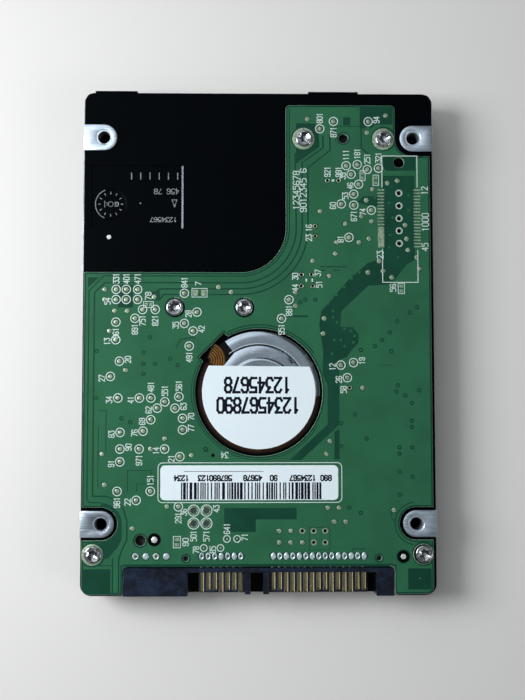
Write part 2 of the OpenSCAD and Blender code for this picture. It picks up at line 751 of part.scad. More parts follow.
module arm_block() color([0.7, 0.71, 0.73]) difference() {
    union() {
        rod(pivot, z_arm1, z_arm3 + arm_t, arm_hub_r);
        for (z = [[z_arm1, arm_t], [z_arm2, mid_arm_t], [z_arm3, arm_t]])
            slab(z[0], z[0] + z[1]) at_pivot(park_angle) difference() {
                arm_plan();
                translate([arm_window[0], 0]) circle(arm_window[1]);
            }
    }
    rod(pivot, z_arm1 - eps, z_arm3 + arm_t + eps, arm_bore_r);
}

module pivot_sleeve() color([0.65, 0.66, 0.68])
    slab(z_arm1 + sleeve_inset, z_arm3 + arm_t - sleeve_inset) translate(pivot) ring(sleeve_in_r, arm_bore_r);

module bearing_outer_rings() color([0.8, 0.8, 0.82])
    for (z = bearing_zs) slab(z, z + bearing_h) translate(pivot) ring(ring_out_r, sleeve_in_r);

module bearing_inner_rings() color([0.8, 0.8, 0.82])
    for (z = bearing_zs) slab(z, z + bearing_h) translate(pivot) ring(pivot_r, ring_in_r);

ball_count = 8;

module bearing_balls() color([0.9, 0.9, 0.92])
    for (z = bearing_zs, i = [0 : ball_count - 1]) {
        at = about_pivot(ball_track_r, i * 360 / ball_count);
        translate([at[0], at[1], z + bearing_h / 2]) sphere(ball_r, $fn = 24);
    }

module pivot_shaft() color([0.75, 0.76, 0.78]) difference() {
    union() {
        rod(pivot, z_rim, z_floor + 0.5, pivot_r);
        rod(pivot, z_rim, z_arm1 + sleeve_inset, ring_in_r);
        rod(pivot, bearing_zs[1] + bearing_h, z_ceiling, ring_in_r);
    }
    rod(pivot, z_rim - eps, cover_head_h + pivot_screw_l + 0.2, cover_screw_r);
}

module coil_plan(inset) {
    spread = asin(inset / coil_r_in);
    sector(coil_r_in + inset, coil_r_out - inset, -coil_half_angle + spread, coil_half_angle - spread);
}

module voice_coil() color([0.75, 0.42, 0.2]) slab(z_coil, z_coil + coil_t) at_pivot(coil_angle) difference() {
    coil_plan(0);
    coil_plan(coil_band);
}

module coil_frame() color([0.2, 0.2, 0.22]) slab(z_coil, z_coil + coil_t) at_pivot(coil_angle) {
    difference() {
        sector(arm_hub_r, coil_frame_r, -frame_half_angle, frame_half_angle);
        coil_plan(0);
    }
}

suspension_zs = [z_arm1 + arm_t, z_arm2 - suspension_t, z_arm2 + mid_arm_t, z_arm3 - suspension_t];

module suspensions() color([0.82, 0.8, 0.75])
    for (z = suspension_zs) slab(z, z + suspension_t) at_pivot(park_angle) {
        polygon([[arm_reach - 3, -1.3], [head_reach, -0.7], [tab_reach, -0.25], [tab_reach, 0.25],
            [head_reach, 0.7], [arm_reach - 3, 1.3]]);
    }

slider_size = [1.24, 1];

module head_sliders() color([0.25, 0.25, 0.28])
    for (i = [0 : 3]) {
        up = i % 2 == 0;
        z = up ? suspension_zs[i] + suspension_t : suspension_zs[i] - slider_t;
        slab(z, z + slider_t) at_pivot(park_angle)
            rect([head_reach, 0] - slider_size / 2, [head_reach, 0] + slider_size / 2);
    }

preamp_angle = park_angle + 80;
preamp_r = arm_hub_r + 0.8;

module preamp_chip() color([0.1, 0.1, 0.1]) slab(z_coil, z_coil + coil_t) at_pivot(preamp_angle) difference() {
    rect([arm_hub_r - 0.6, -1.3], [preamp_r, 1.3]);
    circle(arm_hub_r);
}

// Centre of the arc of radius r that joins point a to point b, on the left of a to b
function arc_centre(a, b, r) =
    let (d = b - a, h = sqrt(r * r - (d * d) / 4))
    (a + b) / 2 + h * [-d[1], d[0]] / norm(d);

flex_start = about_pivot(preamp_r + 0.65, preamp_angle);
flex_end = [flex_plate[0][0] - 0.05, flex_plate[0][1] + 6];
flex_r = norm(flex_end - flex_start) * 0.56;
flex_centre = arc_centre(flex_start, flex_end, flex_r);

module head_flex_cable() color([0.75, 0.45, 0.15]) slab(z_coil, z_coil + coil_t) translate(flex_centre) {
    a = flex_start - flex_centre;
    b = flex_end - flex_centre;
    sector(flex_r - 0.05, flex_r + 0.05, atan2(a[1], a[0]), atan2(b[1], b[0]));
}

module flex_bracket() color([0.7, 0.7, 0.72]) difference() {
    union() {
        slab(z_ceiling - 0.7, z_ceiling) rect(flex_plate[0], flex_plate[1]);
        block([flex_plate[0][0], flex_plate[0][1] + 2, z_coil - 0.3],
            [flex_plate[0][0] + 0.6, flex_plate[0][1] + 9, z_ceiling]);
    }
    slab(z_ceiling - 1, z_ceiling + eps) rect(feed_box[0], feed_box[1]);
}

module feedthrough_connector() color([0.12, 0.12, 0.13])
    slab(z_ceiling - 1, z_deck) rect(feed_box[0], feed_box[1]);

// Plan of both yokes: a broad sector over the magnets and a narrower one that reaches the posts
module yoke_plan() {
    translate(pivot) {
        sector(8, outer_stop_orbit + 1, post_angles[0] - 5, post_angles[1] + 5);
        sector(8, yoke_r, frame_edges[0] - 3, frame_edges[1] + 3);
    }
}

module cover_side_yoke() color([0.72, 0.73, 0.75]) difference() {
    slab(z_yoke1, z_magnet1) yoke_plan();
    for (a = post_angles) rod(about_pivot(post_orbit, a), z_yoke1 - eps, z_magnet1 + eps, small_screw_r);
}

module base_side_yoke() color([0.72, 0.73, 0.75]) difference() {
    slab(z_yoke2, z_ceiling) yoke_plan();
    for (a = post_angles) rod(about_pivot(post_orbit, a), z_yoke2 - eps, z_ceiling + eps, small_screw_r);
}

module magnet(z) {
    color([0.6, 0.61, 0.63]) slab(z, z + magnet_t) translate(pivot)
        sector(coil_r_in - 0.5, coil_r_out, frame_edges[0] + 0.5, frame_edges[1]);
}

module cover_side_magnet() magnet(z_magnet1);

module base_side_magnet() magnet(z_magnet2);

module yoke_posts() color([0.75, 0.75, 0.77])
    for (a = post_angles) slab(z_magnet1, z_yoke2) translate(about_pivot(post_orbit, a))
        ring(small_screw_r, post_r);

yoke_head_h = 0.25;

module yoke_screws() color([0.6, 0.6, 0.62])
    for (a = post_angles) {
        at = about_pivot(post_orbit, a);
        rod(at, z_yoke1 - yoke_head_h, z_yoke1, small_screw_r + 0.6);
        rod(at, z_yoke1 - eps, z_floor - 0.1, small_screw_r);
    }

ramp_screw_at = about_pivot((ramp_r[1] + ramp_r[2]) / 2, (ramp_angles[0] + ramp_angles[1]) / 2);
ramp_clear = 0.05;
ramp_room = 3.8;

// Block on the casting with two fingers; each finger holds the tabs beside it
module load_ramp() color([0.9, 0.88, 0.82]) difference() {
    union() {
        slab(z_arm1 + 0.4, z_ceiling) translate(pivot)
            sector(ramp_r[1], ramp_r[2], ramp_angles[0], ramp_angles[1]);
        for (i = [0, 2])
            slab(suspension_zs[i] + suspension_t + ramp_clear, suspension_zs[i + 1] - ramp_clear)
                difference() {
                    translate(pivot) sector(ramp_r[0], ramp_r[1] + 0.5, ramp_angles[0], ramp_angles[1]);
                    translate(spindle) circle(platter_r + 0.5);
                }
    }
    rod(ramp_screw_at, z_arm1, z_ceiling + eps, small_screw_r);
}

module ramp_screw() color([0.6, 0.6, 0.62])
    socket_screw(ramp_screw_at, z_arm1 + 0.4, z_ceiling + 0.6 - z_arm1 - 0.4, 1);

latch_z = [z_coil - 0.2, z_coil + coil_t + 0.2];

module latch_lever() color([0.88, 0.87, 0.8]) slab(latch_z[0], latch_z[1]) translate(latch_at) difference() {
    union() {
        circle(1.5);
        rotate(latch_angle) {
            rect([0, -0.6], [latch_len, 0.6]);
            translate([latch_len, 0]) circle(0.9);
        }
        rotate(latch_angle + 180) rect([0, -0.8], [3.6, 0.8]);
    }
    circle(latch_pin_r + latch_gap);
}

module latch_pin() color([0.75, 0.75, 0.77]) {
    rod(latch_at, latch_z[0] - 0.4, z_floor - 0.1, latch_pin_r);
    rod(latch_at, latch_z[0] - 0.6, latch_z[0] - 0.1, 1);
    rod(latch_at, latch_z[1] + 0.1, z_ceiling, 1);
}

module crash_stops() color([0.15, 0.15, 0.15])
    for (s = stops) rod(about_pivot(s[0], s[1]), z_magnet1, z_yoke2, stop_r);

// ---- Circuit board ----

module board_plan() {
    corner = [bare_x - bare_r, bare_y + bare_r];
    union() {
        round_rect([board_x1, board_y1], [board_x2, bare_y], 1.5);
        rect([board_x1, board_y1 + 2], [bare_x, bare_y]);
        rect([bare_x, board_y1 + 2], [board_x2, board_far_y]);
        round_rect([bare_x, bare_y], [board_far_x, board_y2], 0.8);
        rect([bare_x, bare_y - 1], [board_far_x, board_y2 - 2]);
        difference() {
            rect(corner - [0, bare_r], [bare_x + eps, corner[1]]);
            translate(corner) circle(bare_r);
        }
        difference() {
            rect([board_far_x - eps, board_far_y - eps], [hole_x, hole_y2]);
            translate([hole_x, hole_y2]) circle(boss_cut_r);
        }
    }
}

// Holes of the board as [place, radius]
board_holes = [[[bare_x + 11.6, far_screw_y], 0.95], [[board_far_x + 0.75, board_far_y - 1.3], 1.05],
    [[-conn_x + 3.36, hole_y1 - 3.2], 1.05], [[-conn_x + 12.27, solder_y - 0.42], 0.55],
    [[conn_x - 2.95, solder_y - 0.42], 0.55]];
pin_hole_r = 0.42;

module circuit_board() color([0.1, 0.38, 0.22]) difference() {
    slab(z_deck, z_board) difference() {
        board_plan();
        translate(spindle) circle(motor_hole_r);
        translate(spindle) rotate(135) rect([0, -notch_w / 2], [motor_hole_r + notch_depth, notch_w / 2]);
        for (s = [-1, 1]) boss_plan([s * hole_x, hole_y1], boss_slot_r);
        rect([-conn_x - 0.05, y_conn], [conn_x + 0.05, conn_back_y + 0.2]);
        for (x = concat(signals, powers, jumpers)) translate([x, solder_y]) circle(pin_hole_r, $fn = 24);
    }
    for (p = board_screws) rod(p, z_deck - eps, z_board + eps, board_screw_r + 0.2);
    for (h = board_holes) rod(h[0], z_deck - eps, z_board + eps, h[1]);
}

module board_insulator() color([0.2, 0.2, 0.22]) slab(z_floor, z_floor + foam_t) difference() {
    pocket_plan(-0.4);
    rect(feed_box[0] - [0.3, 0.3], feed_box[1] + [0.3, 0.3]);
    rect([-conn_x, conn_back_y - 1], [conn_x, solder_y + 1.4]);
}

module board_screws() color([0.78, 0.78, 0.8])
    for (p = board_screws) difference() {
        union() {
            rod(p, z_floor - 0.1, z_board + 0.1, board_screw_r);
            translate([p[0], p[1], z_board]) cylinder(h = board_head_h * 0.5, r = board_head_r);
            translate([p[0], p[1], z_board + board_head_h * 0.5])
                cylinder(h = board_head_h * 0.5, r1 = board_head_r, r2 = board_head_r * 0.72);
        }
        translate([p[0], p[1], z_board + 0.1]) cylinder(h = 1, r = 0.8, $fn = 6);
    }

// ---- Serial connector ----

// Strip that lies on the tongue, passes the wall behind it and turns up through the board
module contact(x, w, front, grow = 0) {
    block([x - w / 2 - grow, front - grow, z_tongue2 - grow],
        [x + w / 2 + grow, solder_y + 0.25, z_tongue2 + contact_t + grow]);
}

contact_short = 2.8;
contact_long = 3.3;

module connector_housing() color([0.1, 0.12, 0.18]) difference() {
    union() {
        block([-conn_x, conn_front_y, z_conn1], [conn_x, conn_back_y, z_conn2]);
        block([-conn_x, y_conn, z_conn1], [-conn_x + jumper_block_w, conn_back_y, z_conn2]);
        block([conn_x - guide_w, y_conn, z_conn1], [conn_x, conn_back_y, z_conn2]);
        block([signals[0] - tongue_in, y_conn + tongue_in, z_tongue1], [key_end, conn_back_y, z_tongue2]);
        block([key_start, y_conn + tongue_in, z_tongue1], [power_end, conn_back_y, z_tongue2]);
        block([key_end - key_w, y_conn + tongue_in * 0.5, z_tongue1], [key_end, conn_back_y, z_conn2 - 0.4]);
        block([key_start, y_conn + tongue_in * 0.5, z_tongue1], [key_start + key_w, conn_back_y, z_conn2 - 0.4]);
        block([-conn_x + 1.5, conn_back_y - eps, z_shelf], [conn_x - 1.5, solder_y + 0.9, z_tongue2]);
    }
    for (i = [0 : signal_count - 1]) contact(signals[i], contact_w, conn_front_y - 0.1);
    for (i = [0 : power_count - 1]) contact(powers[i], contact_w, conn_front_y - 0.1);
    block([jumper_x - 1.5, y_conn - eps, z_conn1 + 0.9],
        [jumpers[3] + 1.5, conn_front_y, z_conn2 - 0.9]);
    for (x = jumpers) {
        block([x - jumper_pin_w / 2, y_conn, jumper_z], [x + jumper_pin_w / 2, solder_y + jumper_pin_w / 2,
            jumper_z + jumper_pin_w]);
        block([x - jumper_pin_w / 2, solder_y - jumper_pin_w / 2, jumper_z],
            [x + jumper_pin_w / 2, solder_y + jumper_pin_w / 2, z_board]);
    }
}

jumper_z = z_shelf + 0.2;
pin_t = 0.3;

module connector_contacts() color([0.8, 0.68, 0.35]) {
    for (i = [0 : signal_count - 1])
        contact_pin(signals[i], len(search(i, long_signals)) > 0);
    for (i = [0 : power_count - 1])
        contact_pin(powers[i], len(search(i, long_powers)) > 0);
}

module contact_pin(x, long) {
    front = conn_front_y - 0.1 - (long ? contact_long : contact_short);
    contact(x, contact_w, front);
    block([x - pin_t / 2, solder_y - pin_t / 2, z_tongue2], [x + pin_t / 2, solder_y + pin_t / 2, z_board + 0.15]);
}

module jumper_pins() color([0.8, 0.7, 0.4])
    for (x = jumpers) {
        block([x - jumper_pin_w / 2, y_conn + 0.4, jumper_z],
            [x + jumper_pin_w / 2, solder_y + jumper_pin_w / 2, jumper_z + jumper_pin_w]);
        block([x - jumper_pin_w / 2, solder_y - jumper_pin_w / 2, jumper_z],
            [x + jumper_pin_w / 2, solder_y + jumper_pin_w / 2, z_board + 0.15]);
    }

solder_t = 0.12;

module solder_joints() color([0.82, 0.83, 0.84]) slab(z_board, z_board + solder_t) {
    for (x = concat(signals, powers)) translate([x, solder_y]) difference() {
        union() {
            for (s = [-1, 1]) translate([0, s * 0.25]) circle(0.48, $fn = 24);
            rect([-0.48, -0.25], [0.48, 0.25]);
        }
        rect([-pin_t / 2, -pin_t / 2], [pin_t / 2, pin_t / 2]);
    }
    for (x = jumpers) translate([x, solder_y]) difference() {
        circle(0.65, $fn = 24);
        rect([-jumper_pin_w / 2, -jumper_pin_w / 2], [jumper_pin_w / 2, jumper_pin_w / 2]);
    }
}

// Flat part under the board, given by its centre from the spindle, its size and its height
module chip(at, size, h) {
    slab(z_deck - h, z_deck) translate(spindle + at) rect(-size / 2, size / 2);
}

// Middles of the two spaces beside the motor, measured from the spindle
left_mid = (board_x1 + board_ledge - collar_r) / 2;
right_mid = (board_x2 - board_ledge + collar_r) / 2;

module controller_chip() color([0.08, 0.08, 0.09]) chip([left_mid, 7], [14, 14], chip_h);

module motor_driver_chip() color([0.08, 0.08, 0.09]) chip([right_mid, 18], [9, 9], chip_h);

module memory_chip() color([0.08, 0.08, 0.09]) {
    chip([left_mid, -10], [11, 8], chip_h);
    chip([right_mid, -12], [5, 6], chip_h - 0.1);
}

// Inductors, capacitors, the crystal and the shock sensor as [place, size]
power_part_list = [[[right_mid - 5, 34], [4, 4]], [[right_mid + 1, 34], [4, 4]],
    [[right_mid + 5, 26], [2.5, 3.5]], [[right_mid + 4, 2], [3, 2]], [[right_mid + 4, -2], [3, 2]],
    [[left_mid - 5, -2.5], [2.5, 2]], [[left_mid - 4, 17], [2, 3.2]], [[right_mid - 12, 20], [3.2, 1.6]],
    [[right_mid - 12, 30], [3.2, 1.6]], [[right_mid, -20], [3, 3]]];

module power_parts() color([0.3, 0.28, 0.26])
    for (p = power_part_list) chip(p[0], p[1], chip_h - 0.05);

barcode_box = [spindle + [-19.3, -21.14], spindle + [15.6, -14.34]];

module barcode_label() color([0.93, 0.95, 0.96])
    slab(z_board, z_board + label_t) rect(barcode_box[0], barcode_box[1]);

base_casting();
top_cover();
cover_gasket();
cover_screws();
cover_label();
breather_filter();
recirculation_filter();
desiccant_pack();
motor_bracket();
stator_core();
stator_windings();
bearing_sleeve();
counter_plate();
motor_flex();
motor_label();
spindle_hub();
rotor_magnet();
spindle_shaft();
platter_lower();
platter_upper();
platter_spacer();
platter_clamp();
clamp_screws();
arm_block();
pivot_sleeve();
bearing_outer_rings();
bearing_inner_rings();
bearing_balls();
pivot_shaft();
voice_coil();
coil_frame();
suspensions();
head_sliders();
preamp_chip();
head_flex_cable();
flex_bracket();
feedthrough_connector();
cover_side_yoke();
base_side_yoke();
cover_side_magnet();
base_side_magnet();
yoke_posts();
yoke_screws();
load_ramp();
ramp_screw();
latch_lever();
latch_pin();
crash_stops();
circuit_board();
board_insulator();
board_screws();
connector_housing();
connector_contacts();
jumper_pins();
solder_joints();
controller_chip();
motor_driver_chip();
memory_chip();
power_parts();
barcode_label();
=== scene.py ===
"""Looks of a 2.5 inch hard disk drive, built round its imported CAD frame. Lengths in the code are in
millimetres, in the frame's own axes; they become metres where a mesh is made."""
import itertools
import json
import math

import bmesh
import bpy
import numpy as np
from bpy.props import FloatProperty, FloatVectorProperty, PointerProperty
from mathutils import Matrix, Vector, geometry

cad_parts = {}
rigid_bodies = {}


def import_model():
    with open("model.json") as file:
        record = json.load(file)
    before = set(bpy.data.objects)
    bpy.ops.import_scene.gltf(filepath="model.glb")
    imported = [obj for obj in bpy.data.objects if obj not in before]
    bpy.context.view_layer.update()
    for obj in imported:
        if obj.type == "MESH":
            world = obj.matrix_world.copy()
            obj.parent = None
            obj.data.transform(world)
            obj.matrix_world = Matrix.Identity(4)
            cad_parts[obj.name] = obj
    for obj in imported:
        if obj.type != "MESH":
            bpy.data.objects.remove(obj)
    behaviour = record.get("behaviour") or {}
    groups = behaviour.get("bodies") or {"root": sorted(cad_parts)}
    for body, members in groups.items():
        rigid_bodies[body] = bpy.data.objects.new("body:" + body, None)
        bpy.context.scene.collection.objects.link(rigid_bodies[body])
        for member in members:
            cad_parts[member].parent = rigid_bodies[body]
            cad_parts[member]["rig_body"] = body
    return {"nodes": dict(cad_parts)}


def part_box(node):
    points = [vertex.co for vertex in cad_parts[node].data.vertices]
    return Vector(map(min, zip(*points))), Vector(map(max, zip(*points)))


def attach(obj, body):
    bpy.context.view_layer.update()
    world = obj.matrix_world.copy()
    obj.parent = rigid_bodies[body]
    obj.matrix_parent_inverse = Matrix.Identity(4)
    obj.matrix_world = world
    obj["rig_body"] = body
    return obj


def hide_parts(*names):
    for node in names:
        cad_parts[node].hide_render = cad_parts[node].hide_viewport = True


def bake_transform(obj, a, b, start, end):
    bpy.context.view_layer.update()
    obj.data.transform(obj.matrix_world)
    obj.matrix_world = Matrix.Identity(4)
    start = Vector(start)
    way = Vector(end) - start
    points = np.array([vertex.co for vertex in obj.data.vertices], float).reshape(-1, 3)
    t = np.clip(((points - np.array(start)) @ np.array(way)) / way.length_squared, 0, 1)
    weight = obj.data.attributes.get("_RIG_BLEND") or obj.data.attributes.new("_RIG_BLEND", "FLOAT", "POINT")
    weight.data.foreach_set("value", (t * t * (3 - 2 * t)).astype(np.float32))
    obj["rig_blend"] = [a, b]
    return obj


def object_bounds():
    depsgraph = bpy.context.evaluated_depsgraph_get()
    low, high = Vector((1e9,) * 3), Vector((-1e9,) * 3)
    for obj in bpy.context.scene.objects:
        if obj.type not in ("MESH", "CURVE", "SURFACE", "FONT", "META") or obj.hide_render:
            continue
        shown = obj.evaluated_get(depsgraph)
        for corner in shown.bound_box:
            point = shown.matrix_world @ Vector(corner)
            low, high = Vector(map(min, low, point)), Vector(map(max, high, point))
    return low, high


bl_info = {
    "name": "Hard disk drive looks",
    "version": (1, 0, 0),
    "blender": (4, 5, 0),
    "location": "View3D > Sidebar > Drive",
    "description": "Builds the visible pieces, finishes and stage of a small hard disk drive",
    "category": "Object",
}

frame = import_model()
cad_low, cad_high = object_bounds()
MM = 0.001


def node_box(name):
    """Lowest and highest corner of a CAD node, in millimetres."""
    low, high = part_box(name)
    return np.array(low) / MM, np.array(high) / MM


def node_middle(name):
    """Middle of a CAD node's box, in millimetres."""
    low, high = node_box(name)
    return (low + high) / 2


SPINDLE = node_middle("spindle_shaft")[:2]
PIVOT = node_middle("pivot_sleeve")[:2]
BOARD = node_box("circuit_board")
CONNECTOR = node_box("connector_housing")
Z_BOARD = BOARD[1][2]
Z_TOP = cad_high[2] / MM
WIDTH = (cad_high[0] - cad_low[0]) / MM
# Mounting holes: their places, the radius of their bores and of the bosses round them
HOLE_X, HOLE_YS = 30.86, (-36.1, 40.5)
BORE_R, BOSS_R = 1.25, 2.6
# Height of the copper under the mask, and the distance at which points of outlines count as one
COPPER = 0.035
SNAP = 1e-4
# Height at which the tinned pads start, just inside the board
PAD_Z = Z_BOARD - 0.01

# ---------------------------------------------------------------- outlines in the plane


def circle(x, y, r, n=20, start=0.0):
    """n points at distance r from (x, y), one every full turn over n."""
    a = np.arange(n) * 2 * np.pi / n + start
    return np.stack([x + r * np.cos(a), y + r * np.sin(a)], 1)


def arc(x, y, r, a1, a2, n=24):
    """n points of a circle from angle a1 to angle a2, in degrees."""
    a = np.radians(np.linspace(a1, a2, n))
    return np.stack([x + r * np.cos(a), y + r * np.sin(a)], 1)


def box(x1, y1, x2, y2, r=0.0, n=6):
    """Rectangle whose corners are quarter circles of radius r."""
    if r == 0:
        return np.array([[x1, y1], [x2, y1], [x2, y2], [x1, y2]], float)
    corners = [(x2 - r, y2 - r), (x1 + r, y2 - r), (x1 + r, y1 + r), (x2 - r, y1 + r)]
    return np.concatenate([arc(x, y, r, 90 * k, 90 * k + 90, n) for k, (x, y) in enumerate(corners)])


def anticlockwise(loop):
    """Whether an outline runs anticlockwise: its area, by the shoelace sum, is then above zero."""
    return ((loop[:, 0] * np.roll(loop[:, 1], -1)) - (np.roll(loop[:, 0], -1) * loop[:, 1])).sum() > 0


def offset(loop, d):
    """Outline moved to its left by d: each corner goes along its mitre by d over the cosine of half its
    turn."""
    back = loop - np.roll(loop, 1, 0)
    ahead = np.roll(loop, -1, 0) - loop
    back /= np.linalg.norm(back, axis=1)[:, None]
    ahead /= np.linalg.norm(ahead, axis=1)[:, None]
    mitre = np.stack([-(back + ahead)[:, 1], (back + ahead)[:, 0]], 1)
    left = np.stack([-ahead[:, 1], ahead[:, 0]], 1)
    return loop + d * mitre / np.maximum((mitre * left).sum(1), 0.35)[:, None]


def ribbon(points, width, closed=False):
    """Line of a given width as quads, one for each stretch, that share their mitred ends."""
    p = np.asarray(points, float)
    if closed:
        left, right = offset(p, width / 2), offset(p, -width / 2)
        quads = np.stack([right, np.roll(right, -1, 0), np.roll(left, -1, 0), left], 1)
    else:
        first, last = 2 * p[0] - p[1], 2 * p[-1] - p[-2]
        line = np.vstack([first, p, last])
        left, right = offset(line, width / 2)[1:-1], offset(line, -width / 2)[1:-1]
        quads = np.stack([right[:-1], right[1:], left[1:], left[:-1]], 1)
    return list(quads)


def dashes(points, width):
    """Line as separate rectangles, one for each stretch, each half a width longer at both ends."""
    p = np.asarray(points, float)
    along = (p[1:] - p[:-1]) / np.linalg.norm(p[1:] - p[:-1], axis=1)[:, None] * width / 2
    side = np.stack([-along[:, 1], along[:, 0]], 1)
    a, b = p[:-1] - along, p[1:] + along
    return list(np.stack([a - side, b - side, b + side, a + side], 1))


def moved(outlines, x=0.0, y=0.0, turn=0.0):
    """Outlines turned by an angle in degrees about the origin, then shifted."""
    c, s = math.cos(math.radians(turn)), math.sin(math.radians(turn))
    return [o @ np.array([[c, s], [-s, c]]) + (x, y) for o in outlines]


# Strokes of the digits on a grid 4 wide and 6 high: each pair of figures is a point
STROKES = {
    "0": "01 05 16 36 45 41 30 10 01", "1": "15 26 20", "2": "05 16 36 45 44 00 40",
    "3": "06 46 24 34 43 41 30 10 01", "4": "30 36 02 42", "5": "46 06 04 34 43 41 30 00",
    "6": "45 36 16 05 01 10 30 41 42 33 03", "7": "06 46 10",
    "8": "13 04 05 16 36 45 44 33 13 02 01 10 30 41 42 33", "9": "01 10 30 41 45 36 16 05 04 13 43",
}


def digits(text, height, pitch, weight, turn=0.0, x=0.0, y=0.0):
    """Plain numbers drawn with strokes, centred on (x, y) and turned about it."""
    made, unit = [], height / 6
    for i, sign in enumerate(text):
        if sign in STROKES:
            line = np.array([[int(p[0]), int(p[1])] for p in STROKES[sign].split()], float)
            line = (line - (2, 3)) * (0.18 * pitch, unit) + ((i - (len(text) - 1) / 2) * pitch, 0)
            made += dashes(line, weight)
    return moved(made, x, y, turn)


def ring_edges(start, count):
    """Pairs of neighbouring points of a closed line of count points, whose first has the number start."""
    i = np.arange(count)
    return (start + np.stack([i, (i + 1) % count], 1)).tolist()


def region(*steps, rings=()):
    """Cuts the plane along every outline and keeps the triangles over which the last step is an "add".
    A step is ("add" or "cut", outlines); rings are lines that only split triangles."""
    outlines = [np.asarray(o, float) for _, group in steps for o in group]
    outlines = [o if anticlockwise(o) else o[::-1] for o in outlines]
    step_of = np.concatenate([np.full(len(group), i) for i, (_, group) in enumerate(steps)]).astype(int)
    adds = np.array([what == "add" for what, _ in steps])
    loops = [np.asarray(r, float) for r in rings]
    starts = np.cumsum([0] + [len(o) for o in outlines + loops]).tolist()
    faces = [list(range(s, s + len(o))) for s, o in zip(starts, outlines)]
    edges = [edge for s, r in zip(starts[len(outlines):], loops) for edge in ring_edges(s, len(r))]
    points = [Vector(p) for p in np.concatenate(outlines + loops).tolist()]
    verts, _, tris, _, _, owners = geometry.delaunay_2d_cdt(points, edges, faces, 1, SNAP, True)
    # Each triangle's owners are the outlines that it lies in; the last of their steps decides
    count = np.fromiter(map(len, owners), int, len(owners))
    steps_in = step_of[np.fromiter(itertools.chain.from_iterable(owners), int, count.sum())]
    held = count > 0
    last = np.full(len(owners), -1)
    last[held] = np.maximum.reduceat(steps_in, (np.cumsum(count) - count)[held])
    kept = np.array(tris, int)[(last >= 0) & adds[last]]
    used, packed = np.unique(kept, return_inverse=True)
    return np.array([tuple(v) for v in verts])[used], packed.reshape(-1, 3)


def border(tris):
    """Directed edges of the triangles that have no neighbour."""
    edges = np.concatenate([tris[:, [0, 1]], tris[:, [1, 2]], tris[:, [2, 0]]])
    n = tris.max() + 1
    return edges[~np.isin(edges[:, 0] * n + edges[:, 1], edges[:, 1] * n + edges[:, 0])]


def prism(points, tris, low, high):
    """Closed solid over flat triangles: a top at height high, the same turned over at low, and a wall on
    each border edge. Heights are numbers, or functions of x and y."""
    n = len(points)
    x, y = points.T
    z2 = high(x, y) if callable(high) else np.full(n, float(high))
    z1 = low(x, y) if callable(low) else np.full(n, float(low))
    a, b = border(tris).T
    verts = np.vstack([np.c_[x, y, z2], np.c_[x, y, z1]])
    faces = tris.tolist() + (tris[:, ::-1] + n).tolist() + np.stack([a, a + n, b + n, b], 1).tolist()
    return verts, faces


def slab(outlines, low, high):
    """Closed solid over outlines that may overlap, from height low to height high."""
    return prism(*region(("add", outlines)), low, high)


def mesh_points(mesh):
    """Points of a mesh, in metres."""
    co = np.empty(len(mesh.vertices) * 3, np.float32)
    mesh.vertices.foreach_get("co", co)
    return co.reshape(-1, 3).astype(float)


def move_points(mesh, choose, way):
    """Moves those points of a mesh for which choose(points) holds by a way (x, y, z), in metres."""
    points = mesh_points(mesh)
    points[choose(points)] += way
    mesh.vertices.foreach_set("co", points.astype(np.float32).ravel())
    mesh.update()


def face_loops(name, z, tolerance=0.02):
    """Outlines of a CAD node's flat upper face at height z: the outer ones run anticlockwise, the holes
    clockwise."""
    mesh = frame["nodes"][name].data
    corners = np.empty(len(mesh.loops), np.int32)
    mesh.loops.foreach_get("vertex_index", corners)
    keys, index = np.unique(np.round(mesh_points(mesh) / MM, 3), axis=0, return_inverse=True)
    tris = index.reshape(-1)[corners].reshape(-1, 3)
    up = np.cross(keys[tris[:, 1]] - keys[tris[:, 0]], keys[tris[:, 2]] - keys[tris[:, 0]])[:, 2] > 0
    level = np.abs(keys[tris][:, :, 2] - z).max(1) < tolerance
    follow = dict(border(tris[up & level]).tolist())
    loops = []
    while follow:
        start, here = follow.popitem()
        loop = [start]
        while here != start:
            loop.append(here)
            here = follow.pop(here)
        loops.append(keys[loop][:, :2])
    return loops


# ---------------------------------------------------------------- surfaces on a grid


def grid_faces(rows, columns):
    """Quads between neighbouring points of a grid whose rows close on themselves."""
    r = np.arange(rows - 1)[:, None]
    c = np.arange(columns)[None, :]
    r2, c2 = r + 1, (c + 1) % columns
    quads = [r * columns + c, r * columns + c2, r2 * columns + c2, r2 * columns + c]
    return np.stack(quads, -1).reshape(-1, 4)


def end_faces(rows, columns):
    """The first and the last row of such a grid as two faces that close it."""
    return [list(range(columns))[::-1], list(range((rows - 1) * columns, rows * columns))]


def turned(profile, n=48, lobes=None, count=6):
    """Surface of revolution: the point (r, z) of the profile goes round the axis. With lobes, the radius
    also grows by lobe times the cosine of count times the angle."""
    r, z = np.array(profile, float).T
    a = np.arange(n) * 2 * np.pi / n
    wave = np.zeros(len(r)) if lobes is None else np.array(lobes, float)
    radius = r[:, None] * (1 + wave[:, None] * np.cos(count * a)[None, :])
    height = np.broadcast_to(z[:, None], radius.shape)
    points = np.stack([radius * np.cos(a), radius * np.sin(a), height], -1)
    return points.reshape(-1, 3), grid_faces(len(r), n)


def swept(path, section, normals):
    """Profile carried along a path: each point of the section (across, up) is put at the path's point plus
    across times the path's own normal and up times the Z axis."""
    path, section, normals = (np.asarray(v, float) for v in (path, section, normals))
    across = normals[:, None, :] * section[None, :, 0, None]
    up = np.zeros_like(across)
    up[..., 2] = section[None, :, 1]
    points = path[:, None, :] + across + up
    faces = grid_faces(len(path), len(section)).tolist() + end_faces(len(path), len(section))
    return points.reshape(-1, 3), faces


def shifted(shape, place, scale=1.0):
    """A shape scaled about its origin, then moved to a place."""
    verts, faces = shape
    return verts * scale + place, faces


